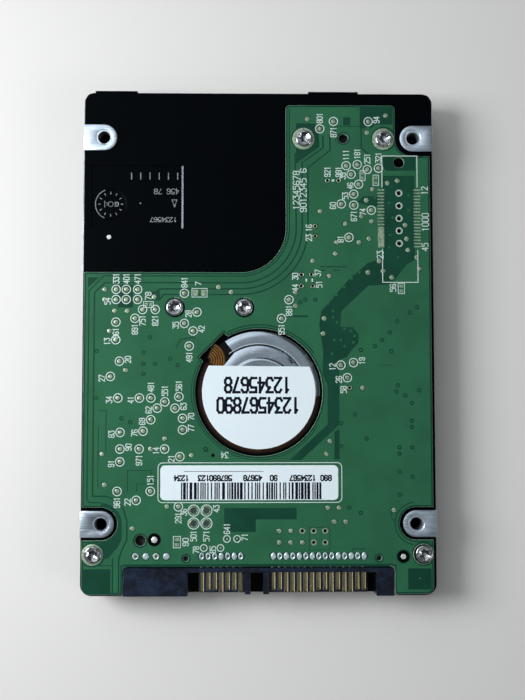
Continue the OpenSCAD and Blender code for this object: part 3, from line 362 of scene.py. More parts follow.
def renumbered(faces, n):
    """Faces as lists of point numbers, each number raised by n."""
    if isinstance(faces, np.ndarray):
        return (faces + n).tolist()
    return [[i + n for i in face] for face in faces]


def copies(shape, places, turns=None):
    """The same shape at each place (x, y, z), turned about its own Z axis by an angle in degrees."""
    verts, faces = shape
    places = np.asarray(places, float)
    a = np.radians(np.zeros(len(places)) if turns is None else np.asarray(turns, float))
    c, s = np.cos(a)[:, None], np.sin(a)[:, None]
    x, y, z = np.asarray(verts, float).T
    around = np.stack([c * x - s * y, s * x + c * y, np.broadcast_to(z, (len(a), len(z)))], -1)
    all_faces = [face for k in range(len(places)) for face in renumbered(faces, k * len(verts))]
    return (around + places[:, None, :]).reshape(-1, 3), all_faces


def spread_out(shape, points, z):
    """The same shape at each point (x, y), at height z."""
    return copies(shape, np.c_[points, np.full(len(points), z)])


def joined(*shapes):
    """Several shapes as one list of points and one of faces."""
    verts, faces, n = [], [], 0
    for some_verts, some_faces in shapes:
        verts.append(np.asarray(some_verts, float))
        faces += renumbered(some_faces, n)
        n += len(some_verts)
    return np.vstack(verts), faces


# ---------------------------------------------------------------- objects


def added(name, data):
    """New object in the scene that shows a mesh, a lamp or a camera."""
    made = bpy.data.objects.new(name, data)
    bpy.context.scene.collection.objects.link(made)
    return made


def coat(mesh, material):
    """Gives the whole mesh one material."""
    mesh.materials.clear()
    mesh.materials.append(material)


def piece(name, shape, material, body="drive", stands_for=(), smooth=30.0, weld=False, bevel=None):
    """Makes an object at the origin from points in millimetres and faces, and puts it on its CAD body."""
    verts, faces = shape
    mesh = bpy.data.meshes.new(name)
    mesh.from_pydata((np.asarray(verts, float) * MM).tolist(), [], [list(f) for f in faces])
    if weld:
        tidy(mesh)
    return finished(added(name, mesh), material, body, stands_for, smooth, bevel)


def tidy(mesh, recalculate=True):
    """Merges points that coincide, so that poles and seams close, and turns the faces outwards."""
    work = bmesh.new()
    work.from_mesh(mesh)
    bmesh.ops.remove_doubles(work, verts=work.verts, dist=1e-7)
    bmesh.ops.dissolve_degenerate(work, edges=work.edges, dist=1e-8)
    if recalculate:
        bmesh.ops.recalc_face_normals(work, faces=work.faces)
    work.to_mesh(mesh)
    work.free()


def finished(made, material, body, stands_for=(), smooth=30.0, bevel=None):
    """Shades, bevels and places a new object, says which body it rides on, and hides the CAD parts that it
    stands for.
    A bevel is (width, segments), or (width, segments, "WEIGHT") for edges with weights."""
    mesh = made.data
    coat(mesh, material)
    mesh.shade_smooth()
    mesh.set_sharp_from_angle(angle=math.radians(smooth))
    if bevel:
        by_weight = len(bevel) > 2
        rounding = made.modifiers.new("rounded_edges", "BEVEL")
        rounding.width = bevel[0] * MM
        rounding.segments = bevel[1]
        rounding.limit_method = bevel[2] if by_weight else "ANGLE"
        rounding.angle_limit = math.radians(40)
        rounding.use_clamp_overlap = not by_weight
        rounding.miter_outer = "MITER_ARC"
        even = made.modifiers.new("even_flats", "WEIGHTED_NORMAL")
        even.keep_sharp = True
    if body:
        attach(made, body)
    if stands_for:
        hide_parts(*stands_for)
    return made


def refined(node, name, material, bevel=None, weight=None, rides=True):
    """Merged copy of a CAD node with its flat faces whole again and its edges rounded. weight gives the
    share of the bevel that an edge takes from its middle, its direction and the two normals beside it.
    A copy that bends between two bodies rides on neither."""
    source = frame["nodes"][node]
    mesh = source.data.copy()
    mesh.name = name
    work = bmesh.new()
    work.from_mesh(mesh)
    bmesh.ops.remove_doubles(work, verts=work.verts, dist=2e-6)
    bmesh.ops.dissolve_limit(work, angle_limit=math.radians(0.5), use_dissolve_boundaries=False,
                             verts=work.verts, edges=work.edges)
    if weight:
        layers = work.edges.layers.float
        layer = layers.get("bevel_weight_edge") or layers.new("bevel_weight_edge")
        for edge in work.edges:
            if len(edge.link_faces) == 2 and edge.calc_face_angle_signed(0) > math.radians(35):
                middle = (edge.verts[0].co + edge.verts[1].co) / (2 * MM)
                along = (edge.verts[1].co - edge.verts[0].co).normalized()
                edge[layer] = weight(middle, along, [f.normal for f in edge.link_faces])
        bevel = (*bevel, "WEIGHT")
    work.to_mesh(mesh)
    work.free()
    body = source["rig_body"] if rides else None
    return finished(added(name, mesh), material, body, [node], bevel=bevel)


# ---------------------------------------------------------------- shader node groups


def feed(tree, node, values):
    """Sets a node's inputs to numbers, or links them to the sockets that feed them."""
    for name, value in values.items():
        if isinstance(value, bpy.types.NodeSocket):
            tree.links.new(value, node.inputs[name])
        else:
            node.inputs[name].default_value = value
    return node


def put(tree, kind, values=None, **settings):
    """Adds a shader node; values holds numbers or the sockets that feed it."""
    made = tree.nodes.new("ShaderNode" + kind)
    for name, value in settings.items():
        setattr(made, name, value)
    return feed(tree, made, values or {})


def maths(tree, operation, *values):
    """Result of a sum on one, two or three numbers or sockets."""
    return put(tree, "Math", dict(enumerate(values)), operation=operation).outputs[0]


def noise(tree, place, scale, detail=2.0, rough=0.5):
    """Noise with about so many waves to a millimetre; place is in millimetres."""
    values = {"Vector": place, "Scale": scale, "Detail": detail, "Roughness": rough}
    return put(tree, "TexNoise", values).outputs[0]


def parts_of(tree, vector):
    """The three numbers of a vector."""
    return put(tree, "SeparateXYZ", {"Vector": vector}).outputs


def opaque(colour):
    """A colour, or the socket of one, as a Mix node takes it."""
    return colour if isinstance(colour, bpy.types.NodeSocket) else (*colour, 1)


def mix_colour(tree, mask, low, high):
    """Colour low where the mask is nothing, high where it is one."""
    return put(tree, "Mix", {0: mask, 6: opaque(low), 7: opaque(high)}, data_type="RGBA").outputs[2]


def mix_value(tree, mask, low, high):
    """Value low where the mask is nothing, high where it is one."""
    return put(tree, "Mix", {0: mask, 2: low, 3: high}, data_type="FLOAT").outputs[0]


def fit(tree, value, low, high, to_low=0.0, to_high=1.0):
    """Maps low..high of a value to another span, with smooth ends."""
    names = {"Value": value, "From Min": low, "From Max": high, "To Min": to_low, "To Max": to_high}
    return put(tree, "MapRange", names, interpolation_type="SMOOTHSTEP").outputs[0]


def effect(name, inputs, outputs, build):
    """Shader node group with named sockets, made once."""
    if name in bpy.data.node_groups:
        return bpy.data.node_groups[name]
    tree = bpy.data.node_groups.new(name, "ShaderNodeTree")
    for socket, (kind, value) in inputs.items():
        made = tree.interface.new_socket(socket, in_out="INPUT", socket_type="NodeSocket" + kind)
        if value is not None:
            made.default_value = value
    for socket in outputs:
        tree.interface.new_socket(socket, in_out="OUTPUT", socket_type="NodeSocketFloat")
    source, sink = tree.nodes.new("NodeGroupInput"), tree.nodes.new("NodeGroupOutput")
    for socket, value in build(tree, source.outputs).items():
        tree.links.new(value, sink.inputs[socket])
    return tree


def grain(tree, given):
    """Fine even noise for cast, moulded and painted surfaces, and slow cloudy patches."""
    fine = noise(tree, given["Place"], given["Per mm"], 3.0)
    slow = noise(tree, given["Place"], 0.09, 4.0, 0.6)
    return {"Fine": fine, "Cloud": fit(tree, slow, 0.3, 0.7)}


def brushed(tree, given):
    """Noise stretched along X, as a belt leaves it."""
    long = put(tree, "Mapping", {"Vector": given["Place"], "Scale": (0.03, 1, 1)}).outputs[0]
    fine = noise(tree, long, given["Per mm"], 4.0)
    slow = noise(tree, given["Place"], 0.07, 3.0)
    return {"Fine": fine, "Cloud": fit(tree, slow, 0.3, 0.7)}


def spun(tree, given):
    """Noise of the distance to the axis with a slow change round it, as a lathe leaves it."""
    apart = parts_of(tree, given["Place"])
    flat = put(tree, "CombineXYZ", {"X": apart[0], "Y": apart[1]}).outputs[0]
    radius = put(tree, "VectorMath", {0: flat}, operation="LENGTH").outputs["Value"]
    unit = put(tree, "VectorMath", {0: flat}, operation="NORMALIZE").outputs[0]
    turn = put(tree, "VectorMath", {0: unit, "Scale": 0.35}, operation="SCALE").outputs[0]
    ring = put(tree, "CombineXYZ", {"Z": radius}).outputs[0]
    both = put(tree, "VectorMath", {0: turn, 1: ring}, operation="ADD").outputs[0]
    fine = noise(tree, both, given["Per mm"], 4.0)
    slow = noise(tree, given["Place"], 0.25, 3.0)
    return {"Fine": fine, "Cloud": fit(tree, slow, 0.35, 0.65)}


def woven(tree, given):
    """Two sets of ridges that cross, as glass cloth shows through resin."""
    ridges = {"Vector": given["Place"], "Scale": given["Per mm"], "Distortion": 0.6}
    waves = [put(tree, "TexWave", ridges, bands_direction=way).outputs["Fac"] for way in "XY"]
    high = maths(tree, "MAXIMUM", *waves)
    slow = noise(tree, given["Place"], 0.12, 3.0)
    return {"Fine": high, "Cloud": fit(tree, slow, 0.3, 0.7)}


PATTERNS = {"grain": grain, "brushed": brushed, "spun": spun, "woven": woven}


def specks(tree, given):
    """Sparse dust and handling marks: small spots where a noise passes a threshold."""
    cells = {"Vector": given["Place"], "Scale": 0.8, "Randomness": 1.0}
    spots = put(tree, "TexVoronoi", cells).outputs["Distance"]
    small = fit(tree, spots, 0.035, 0.075, 1.0, 0.0)
    smear = noise(tree, given["Place"], 0.35, 5.0, 0.7)
    return {"Spots": small, "Smear": fit(tree, smear, 0.52, 0.75)}


def above(tree, given):
    """One above a height and nothing below it, with a slightly uneven edge."""
    z = parts_of(tree, given["Place"])[2]
    edge = maths(tree, "MULTIPLY_ADD", noise(tree, given["Place"], 3.0), 0.06, z)
    return {"Mask": fit(tree, maths(tree, "SUBTRACT", edge, given["Level"]), 0.0, 0.05)}


def use(tree, name, build, inputs, outputs, values):
    """Places one of the groups in a material and returns its outputs."""
    made = tree.nodes.new("ShaderNodeGroup")
    made.node_tree = effect(name, inputs, outputs, build)
    return feed(tree, made, values).outputs


def pattern(tree, kind, place, per_mm):
    """One of the patterns at so many waves to a millimetre: its fine relief and its slow patches."""
    sockets = {"Place": ("Vector", None), "Per mm": ("Float", 1.0)}
    return use(tree, kind, PATTERNS[kind], sockets, ("Fine", "Cloud"), {"Place": place, "Per mm": per_mm})


def wear(tree, place):
    """Dust spots and handling marks at a place."""
    return use(tree, "specks", specks, {"Place": ("Vector", None)}, ("Spots", "Smear"), {"Place": place})


def place_mm(tree, centre=(0, 0), turn=0.0):
    """Object coordinates in millimetres from a centre, turned about Z."""
    raw = put(tree, "TexCoord").outputs["Object"]
    scaled = put(tree, "VectorMath", {0: raw, "Scale": 1 / MM}, operation="SCALE").outputs[0]
    if turn == 0 and not np.any(centre):
        return scaled
    shift = put(tree, "VectorMath", {0: scaled, 1: (-centre[0], -centre[1], 0)}, operation="ADD").outputs[0]
    return put(tree, "Mapping", {"Vector": shift, "Rotation": (0, 0, math.radians(turn))}).outputs[0]


def principled(name, **constants):
    """New material with its Principled shader; constants are set on the shader's own sockets."""
    material = bpy.data.materials.new(name)
    material.use_nodes = True
    shader = material.node_tree.nodes["Principled BSDF"]
    for socket, value in constants.items():
        shader.inputs[socket.replace("_", " ")].default_value = value
    return material, material.node_tree, shader


def bump(tree, shader, height, depth):
    """Relief on a shader's normal: height is a pattern, depth its height in millimetres."""
    made = put(tree, "Bump", {"Height": height, "Distance": depth * MM, "Strength": 1.0}).outputs[0]
    tree.links.new(made, shader.inputs["Normal"])


FINISHES = {}


def finish(name, light, dark, rough=(0.4, 0.5), metal=0.0, kind="grain", per_mm=2.0, depth=0.004,
           centre=(0, 0), turn=0.0, smears=0.15, cloud=0.35, spread=None, **constants):
    """A surface whose colour goes between two shades with a pattern, whose gloss follows the same pattern
    with slow patches and smears, and whose fine relief comes from it. A spread makes the patches sharper."""
    if name in FINISHES:
        return FINISHES[name]
    material, tree, shader = principled(name, Metallic=metal, **constants)
    FINISHES[name] = material
    place = place_mm(tree, centre, turn)
    out = pattern(tree, kind, place, per_mm)
    tone = mix_value(tree, cloud, out["Fine"], out["Cloud"])
    if spread:
        tone = fit(tree, tone, *spread)
    feed(tree, shader, {"Base Color": mix_colour(tree, tone, dark, light)})
    marks = wear(tree, place)
    gloss = mix_value(tree, out["Fine"], rough[0], rough[1])
    feed(tree, shader, {"Roughness": maths(tree, "MULTIPLY_ADD", marks["Smear"], smears, gloss)})
    bump(tree, shader, out["Fine"], depth)
    return material


def shade(colour, factor):
    """A colour made lighter or darker by a factor."""
    return tuple(min(1.0, c * factor) for c in colour)


# ---------------------------------------------------------------- sizes and colours


def size(name, text, value, least, most):
    """A length that the user can change, given in millimetres and kept in metres."""
    return FloatProperty(name=name, description=text, default=value * MM, min=least * MM, max=most * MM,
                         unit="LENGTH", precision=5)


def colour(name, text, value):
    """A colour that the user can change."""
    return FloatVectorProperty(name=name, description=text, default=value, size=3, min=0, max=1,
                               subtype="COLOR")


class DriveSizes(bpy.types.PropertyGroup):
    hole_chamfer: size("Hole chamfer", "Width of the chamfer at the mounting holes", 0.36, 0.1, 0.5)
    edge_round: size("Edge rounding", "Rounding of the casting's outer edges", 0.22, 0.05, 0.4)
    thread_depth: size("Thread depth", "Height of the thread's ridge in a mounting hole", 0.14, 0.05, 0.2)
    screw_dome: size("Screw dome", "Height of the board screws' heads", 0.37, 0.2, 0.4)
    board_rim: size("Board rim", "Width of the pale routed rim of the board", 0.06, 0.02, 0.2)
    copper_inset: size("Copper inset", "Distance of the copper from the board's edges", 0.38, 0.2, 0.8)
    ring_r: size("Printed ring", "Outer radius of the printed rings", 0.93, 0.6, 1.2)
    ring_w: size("Ring line", "Width of the printed rings", 0.18, 0.08, 0.3)
    pad_r: size("Test pad", "Radius of the tinned test pads", 0.46, 0.3, 0.6)
    via_r: size("Via", "Radius of the open ring round a covered via", 0.44, 0.3, 0.6)
    printing: size("Printed line", "Width of the printed lines", 0.16, 0.08, 0.3)
    label_corner: size("Label corner", "Radius of the bar label's corners", 0.9, 0.2, 1.5)
    contact_crown: size("Contact crown", "Height of the crown on a contact", 0.09, 0.0, 0.12)


class DriveColours(bpy.types.PropertyGroup):
    paint: colour("Paint", "Coat of the casting", (0.0006, 0.0013, 0.0020))
    machined: colour("Machined metal", "Bosses and motor plate", (0.57, 0.67, 0.77))
    mask: colour("Solder mask", "Mask over copper", (0.0275, 0.143, 0.070))
    gap: colour("Solder mask gap", "Mask over bare laminate", (0.006, 0.050, 0.029))
    laminate: colour("Laminate", "Cut edge of the board", (0.22, 0.36, 0.26))
    tin: colour("Tin", "Tinned pads", (0.36, 0.48, 0.34))
    print_white: colour("Printing", "Printed rings, lines and numbers", (0.66, 0.80, 0.76))
    paper: colour("Paper", "Labels", (0.83, 0.95, 1.0))
    ink: colour("Ink", "Printing on the labels", (0.004, 0.006, 0.016))
    plastic: colour("Connector", "Plastic of the connector", (0.005, 0.011, 0.026))
    gold: colour("Contacts", "Plating of the contacts", (0.42, 0.37, 0.22))
    film: colour("Film", "Flexible circuits", (0.30, 0.115, 0.018))
    steel: colour("Cover", "Sheet metal of the cover", (0.56, 0.57, 0.58))
    floor: colour("Floor", "Floor under the drive", (0.80, 0.79, 0.77))


def sizes():
    """The sizes that the user can change, in metres."""
    return bpy.context.scene.drive_sizes


def colours():
    """The colours that the user can change."""
    return bpy.context.scene.drive_colours


# ---------------------------------------------------------------- layout of the board

# Test points as "x y side": side is where the number stands, or - for none
TEST_POINTS = """12.25 42.5 n, 15 44 s, 22 44 e, 17.5 35 n, 19.75 35.25 n, 21.75 34.25 n, 24 34.5 n,
18.5 33.25 w, 20 31.25 w, 19 29.25 w, 16.5 27.25 w, 19 27 s, 22.5 26 w, 18 20.5 w, 6 8 s, 4.5 4.25 s,
16.25 -5 w, 18.75 -4.5 e, 17.5 -7.5 w, -28.25 10 n, -26.25 10 n, -24 10 n, -28.25 8 w, -26.25 8 -,
-24 8 -, -23 6 s, -20.5 6 s, -24.5 4.25 s, -28.25 3.5 s, -28.25 0 w, -27.5 -4.25 e, -29.25 -7.25 w,
-27.75 -11.5 w, -23.5 -11.5 w, -21.25 -11.5 n, -18.5 -12.25 n, -20 -13.5 w, -21.25 -15.75 w,
-22.75 -18 w, -27.25 -18.25 w, -27.25 -21.5 e, -23.5 -21.5 s, -18.5 -21.5 w, -15.5 -23 w, -12.25 5.5 w,
-14.75 3.25 w, -13 1.75 e, -13.75 -1.25 s, -15.75 -11.25 n, -16.5 -13.5 e, -15 -15.5 e, -15 -17.75 e,
-14.75 9.25 n, -27.25 -24 w, -27.75 -29.75 s, -21.25 -29.75 n, -24 -31.5 w, -15.75 -32.75 s"""
LARGE_POINTS = "-12.75 -33.5 w, -10.25 -33.5 e, -12.75 -36 s, -10.25 -36 s"
SMALL_POINTS = "-6.25 -39 n, -4.25 -39 e, -10.75 -40.75 w, -7.5 -40.75 w"
DRILLED_POINTS = """13.75 32 n, 16 32 n, 11.25 22.75 w, 11.25 20.75 w, 8.5 13 w, 10.5 13 e, 8.5 10.75 w,
10.75 10.75 e, 18 -9.5 w"""
PADS = """9.75 44.5, 25.5 45.25, 21.75 41.75, 12.25 25.75, 17.25 23.25, 20.5 24.75, 22.5 23.75, 21.5 28,
22.75 30.25, 25.75 31.5, 27.75 32, 29.25 23, 29.5 20.25, 29.75 18, 22 20.25, 20 19.5, 15.5 19.5,
15.25 17.25, 10.75 15.75, 24 15.75, 21.75 13.5, 24.75 13.75, 26.5 12.5, 14 12.75, 31.5 16.5, 32 14.25,
7.25 9.5, 7.25 6.75, 13 4.25, 12.75 1.25, 20.5 -9.5, 14 -20, 13.25 -22.5, -30.5 10, -30.5 8, -28.5 5.75,
-26 5.75, -20.75 8.5, -29.5 1.75, -26.25 -6, -18.5 -19.5, -21.25 -21.5, -30.75 -22.5, -13.25 -22.75,
-8 10.5, -5.5 9.5, -30.25 -28.5, -18 -32.75, -24.75 -37, 13.5 -33, 15.75 -33, 14.75 -35.75, 17 -35.75,
26.5 -33.5, 4 -37.5, 6.25 -37.5, 4 -39.75, 6.25 -39.75, 8.5 -39.75"""
RING_PADS = "8.5 -37.5, 10.75 -37.5, 13 -37.5, 10.75 -39.75, 13 -39.75"
VIAS = """9.25 8, 8.25 7.5, 11.25 8, 31.5 6.5, 30 5.5, 27.5 3.75, 26 1.5, 24.5 0, 23 -1.25, 26.25 -2.25,
20.25 -2, 27.5 -9, 29 -11, 31.75 -10, 30.25 -12.5, 19 -14.75, 16.25 -16.5, 30.25 -16, 21.25 -19.5,
27.75 -21.25, 30.25 -21.25, 16.25 -21, 27.75 -26, 30.25 -27, 27.75 -30.5, 17.75 -33, 20 -34, -21.5 0.5,
-32 -2.25, -32 -11.5, -17.5 -3.75, -16 -5, -27 -15.5, -25.25 -16.25, -10.5 -21.5, -22.75 -2.5,
-22.75 -4.75, -22.75 -6.75, -20.5 -4.75, 27.25 -10.25, 30.25 -17.25, 27.75 -22.5, 31.5 -46.75"""
BAND_VIAS = """20 13.5, 18.5 12.25, 17 10.5, 15.5 9, 14.5 8.25, 13.75 7.25, 14.75 5.75, 14.75 4.5, 15.5 3.5,
17 2.25, 18.25 1.75, 19 0.75, 18.75 -0.5, 16.25 0, 17 -1.25, 15 0, 14.5 -2.75, 26 27.5, 26.75 24.5,
30 29, 30 26, 26.25 21, 29.75 33.75, 26 18.5, 27.75 16.5, 23.25 28.5, 22.5 29"""


def places(text):
    """Reads a list of "x y" or "x y side" into points and sides."""
    rows = [entry.split() for entry in text.split(",")]
    points = np.array([[float(r[0]), float(r[1])] for r in rows])
    return points, [r[2] if len(r) > 2 else "-" for r in rows]


def spots(text):
    """Points of such a list without their sides."""
    return places(text)[0]


# Inner corner of the board's edge at the bare corner, and its radius
NOTCH_X, NOTCH_Y, NOTCH_R = BOARD[0][0] + 40.0, 13.45, 9.0


def beside_notch(d, upper=None, left=None):
    """Line at a distance d from the bare corner's edge: down beside it, round its inner corner and along
    below it."""
    x, y = NOTCH_X - NOTCH_R, NOTCH_Y + NOTCH_R
    corner = arc(x, y, NOTCH_R + d, 0, -90, 20)
    return np.vstack([upper or [[NOTCH_X + d, 34.0]], corner, left or [[-30.0, NOTCH_Y - d]]])


def dark_lines():
    """Narrow gaps in the copper, as (points, width)."""
    sx, sy = SPINDLE
    x0, x1 = BOARD[0][0] + 1, NOTCH_X + 0.75
    rim_end = [[-30.7, NOTCH_Y - 0.75], [x0, 9.7], [x0, -31.0], [-33.3, -31.9], [-30.9, -31.95]]
    boss_end = [[-30.4, NOTCH_Y - 2.1], [-32.5, 9.4], [-32.5, -30.7], [-29.9, -30.7], [-27.6, -31.6],
                [-26.4, -33.4], [-25.75, -35.6], [-25.75, -39.1], [-26.6, -40.9], [-27.3, -42.9],
                [-27.3, -49.4]]
    return [
        (beside_notch(0.75, [[x1, 46.5]], rim_end), 0.24),
        (beside_notch(2.1, [[7.3, 37.6]], boss_end), 0.28),
        (beside_notch(3.3, [[12.9, 41.2], [12.9, 38.6], [8.7, 35.6]], [[-19.6, 10.1], [-20.6, 9.3]]), 0.28),
        (beside_notch(4.45, [[14.3, 41.2], [14.3, 38.1], [9.85, 34.5]], [[-18.8, 9.0], [-19.6, 8.1]]), 0.28),
        ([[-28.5, -42.7], [-28.5, -49.5]], 0.28),
        ([[-34.2, -44.1], [-28.6, -44.1]], 0.16),
        (arc(sx, sy, 13.35, 35, 118, 30), 0.26),
        (arc(sx, sy, 13.3, 152, 330, 50), 0.16),
        (arc(HOLE_X, HOLE_YS[0], 4.15, 95, 262, 20), 0.2),
        ([[26.0, -33.0], [26.0, -35.0], [26.5, -35.5], [27.0, -35.0]], 0.14),
        ([[-16.4, -1.6], [-15.4, 0.1], [-12.6, 0.5]], 0.2),
        ([[-25.7, -29.9], [-25.7, -25.7], [-21.0, -25.7], [-21.0, -28.3], [-23.9, -28.3], [-23.9, -29.9]],
         0.14),
        ([[12.2, 14.6], [17.4, 14.6]], 0.18),
        ([[12.4, 13.9], [13.2, 13.9]], 0.18),
        ([[14.8, 13.9], [16.2, 13.9]], 0.18),
        ([[9.8, 4.7], [5.8, 4.7]], 0.3),
        ([[20.6, 46.0], [20.6, 38.6], [22.2, 37.2]], 0.3),
        ([[15.4, 40.0], [15.4, 43.0], [20.4, 43.0]], 0.16),
        ([[21.0, -41.0], [18.4, -41.0], [18.4, -41.4]], 0.14),
        ([[9.9, -36.8], [13.9, -36.8], [13.9, -41.2], [9.9, -41.2], [9.9, -36.8]], 0.1),
        ([[-26.4, -44.0], [26.2, -44.0]], 0.24),
        ([[-31.5, -14.0], [-30.0, -14.0], [-30.0, -22.0]], 0.14),
        ([[-31.5, -17.0], [-31.5, -29.0]], 0.12),
        ([[23.4, -5.0], [26.6, -5.0]], 0.1),
    ]


RESISTORS = [(-13.25, 8.5, -10.25, 10.2), (-22.8, 6.4, -20.9, 7.6), (27.75, 9.25, 29.0, 11.3),
             (-16.7, -40.7, -15.3, -38.5), (22.9, 31.0, 24.0, 33.1), (20.3, 32.0, 21.3, 34.0)]


def resistor_pads():
    """Two small pads inside each printed outline, near the ends of its longer side."""
    made = []
    for x1, y1, x2, y2 in RESISTORS:
        x, y, w, h = (x1 + x2) / 2, (y1 + y2) / 2, (x2 - x1) / 2 - 0.26, (y2 - y1) / 2 - 0.26
        if w > h:
            made += [box(x - w, y - h, x - w * 0.25, y + h), box(x + w * 0.25, y - h, x + w, y + h)]
        else:
            made += [box(x - w, y - h, x + w, y - h * 0.25), box(x - w, y + h * 0.25, x + w, y + h)]
    return made


def dark_patches():
    """Places without copper, as outlines."""
    x, y = -HOLE_X, HOLE_YS[0]
    foot = [[-26.76, -39.2], [-27.45, -40.45], [-29.3, -42.7], [-30.3, -42.9], [-30.7, -40.6], [-31.2, -39.5]]
    return [
        np.vstack([arc(x, y, 4.1, 90, 0, 16), foot, arc(x, y, 3.3, -94, 90, 24)]),
        [[7.5, 43.6], [11.2, 43.6], [12.0, 42.4], [12.2, 38.8], [7.5, 35.4]],
        [[20.3, 46.9], [26.9, 46.9], [26.9, 43.4], [23.4, 43.4], [22.6, 42.6], [20.3, 42.6]],
        [[17.0, 44.9], [18.4, 44.9], [18.4, 43.2], [17.0, 43.2]],
        [[24.9, 36.9], [31.4, 36.9], [31.4, 34.0], [25.6, 34.0], [24.9, 34.6]],
        [[24.9, 33.0], [31.2, 33.0], [31.2, 16.0], [29.6, 15.2], [26.4, 11.1], [21.8, 10.8], [16.4, 5.7],
         [16.2, 2.6], [18.6, 2.6], [19.8, 1.2], [19.8, -0.6], [18.6, -1.8], [17.4, -3.4], [15.9, -4.0],
         [15.9, -16.7], [14.6, -18.0], [13.6, -18.0], [13.6, -9.0], [12.6, -6.8], [12.8, -2.4], [12.0, 3.0],
         [12.4, 5.7], [18.0, 12.1], [21.8, 15.4], [24.9, 16.4]],
        [[21.0, 28.8], [19.6, 27.6], [22.4, 26.8], [24.4, 26.8], [24.4, 28.8]],
        [[13.6, -16.7], [15.9, -16.7], [8.4, -23.7], [6.0, -23.7]],
        [[14.9, -18.2], [15.9, -17.6], [15.9, -23.6], [14.9, -23.6]],
        [[-6.75, -33.0], [7.4, -33.0], [7.4, -35.25], [-0.6, -35.25], [-0.6, -37.7], [-6.75, -37.7]],
        [[29.2, -44.8], [33.8, -44.8], [33.8, -48.9], [29.2, -48.9]],
        [[-35.2, -44.8], [-28.9, -44.8], [-28.9, -50.4], [-35.2, -50.4]],
        [[-31.6, 12.4], [-33.8, 12.4], [-33.8, 10.4]],
        [[-24.9, 10.9], [-27.9, 10.9], [-27.9, 6.4], [-24.9, 6.4]],
        [[-21.9, 9.6], [-19.6, 9.6], [-19.6, 7.8], [-21.9, 7.8]],
    ]


# Screws that clamp the board on a tinned pad, as (x, y, outer and inner radius of the pad), and the others
SCREW_PADS = [(9.08, 40.54, 2.2, 1.3), (25.09, 40.48, 2.2, 1.3), (-32.375, -42.0, 2.08, 1.3),
              (32.375, -42.0, 2.04, 1.92)]
PLAIN_SCREWS = [(-16.65, 6.44), (-2.9, 6.44)]
# Openings in the copper round the connector's two pegs, and two small ones above the bar label, as
# (x, y, radius, sides)
PEG_HOLES = [(-20.41, -39.15, 1.3, 24), (28.3, -42.51, 1.4, 24)]
COVERED_HOLES = [(-9.0, -22.75, 0.42, 14), (-10.4, -21.65, 0.5, 14)]
# Solder joints behind the connector: four of the jumper pins, then seven and fifteen of the contacts
JUMPER_ROW = [-24.05 + 2.0 * i for i in range(4)]
PIN_ROW = [-11.16 + 1.27 * i for i in range(7)] + [2.83 + 1.27 * i for i in range(15)]
JOINT_Y = -42.36
# Contacts that reach further to the front, by their number in PIN_ROW
LONG_CONTACTS = (0, 3, 6, 9, 10, 11, 12, 13, 16, 18, 19)


def footprint():
    """Pads, holes and lines of the second connector's bare place: thin pads in two columns, five holes
    between."""
    ys, half = 30.1 - 0.635 * np.arange(19), 0.13
    left = [box(23.75, y - half, 25.1, y + half) for y in ys[:12]] + [box(23.8, 18.5, 25.05, 22.6)]
    right = [box(31.0, y - half, 32.35, y + half) for y in ys]
    holes = [(28.06, y) for y in (29.45, 26.9, 24.35, 21.85, 19.3)]
    x1, x2 = 24.68, 31.73
    lines = [[[x1, 30.6], [x1, 37.0], [x2, 37.0], [x2, 30.6]],
             [[x1, 18.2], [x1, 11.5], [x2, 11.5], [x2, 18.0]]]
    return left + right, holes, lines


# Plain numbers printed on the board, as (text, height, pitch, turn, x, y)
BOARD_NUMBERS = [
    ("12345678", 1.2, 1.0, 90, 7.5, 30.0), ("9012345 6", 1.2, 1.0, 90, 8.9, 30.0),
    ("12", 1.2, 0.85, 90, 33.2, 30.0), ("45", 1.2, 0.85, 90, 33.2, 18.6),
    ("1000", 1.3, 0.95, 90, 33.3, 23.6), ("34", 1.1, 0.8, 180, -6.7, -22.7),
    ("23", 1.2, 0.85, 90, 24.2, 17.0), ("56", 1.1, 0.85, 90, 26.7, 10.4),
    ("78", 1.1, 0.85, 90, -21.9, 8.7), ("90", 1.1, 0.85, 90, -14.3, -39.6),
    ("7", 1.1, 0.85, 90, -12.0, 11.2),
]
# Screws of the cover: six along its edges and one at the arm's pivot
COVER_SCREWS = [(-31.325, -46.5), (31.325, -46.5), (-31.325, 46.1), (31.325, 46.1), (-31.325, 14.0),
                (31.325, 22.0), tuple(PIVOT)]


# ---------------------------------------------------------------- operators


class DriveOperator(bpy.types.Operator):
    bl_options = {"REGISTER", "UNDO"}


def facing_up(tree):
    """How far a surface faces up or down: one on a level face, nothing on an upright wall."""
    normal = put(tree, "NewGeometry").outputs["Normal"]
    return maths(tree, "ABSOLUTE", parts_of(tree, normal)[2])


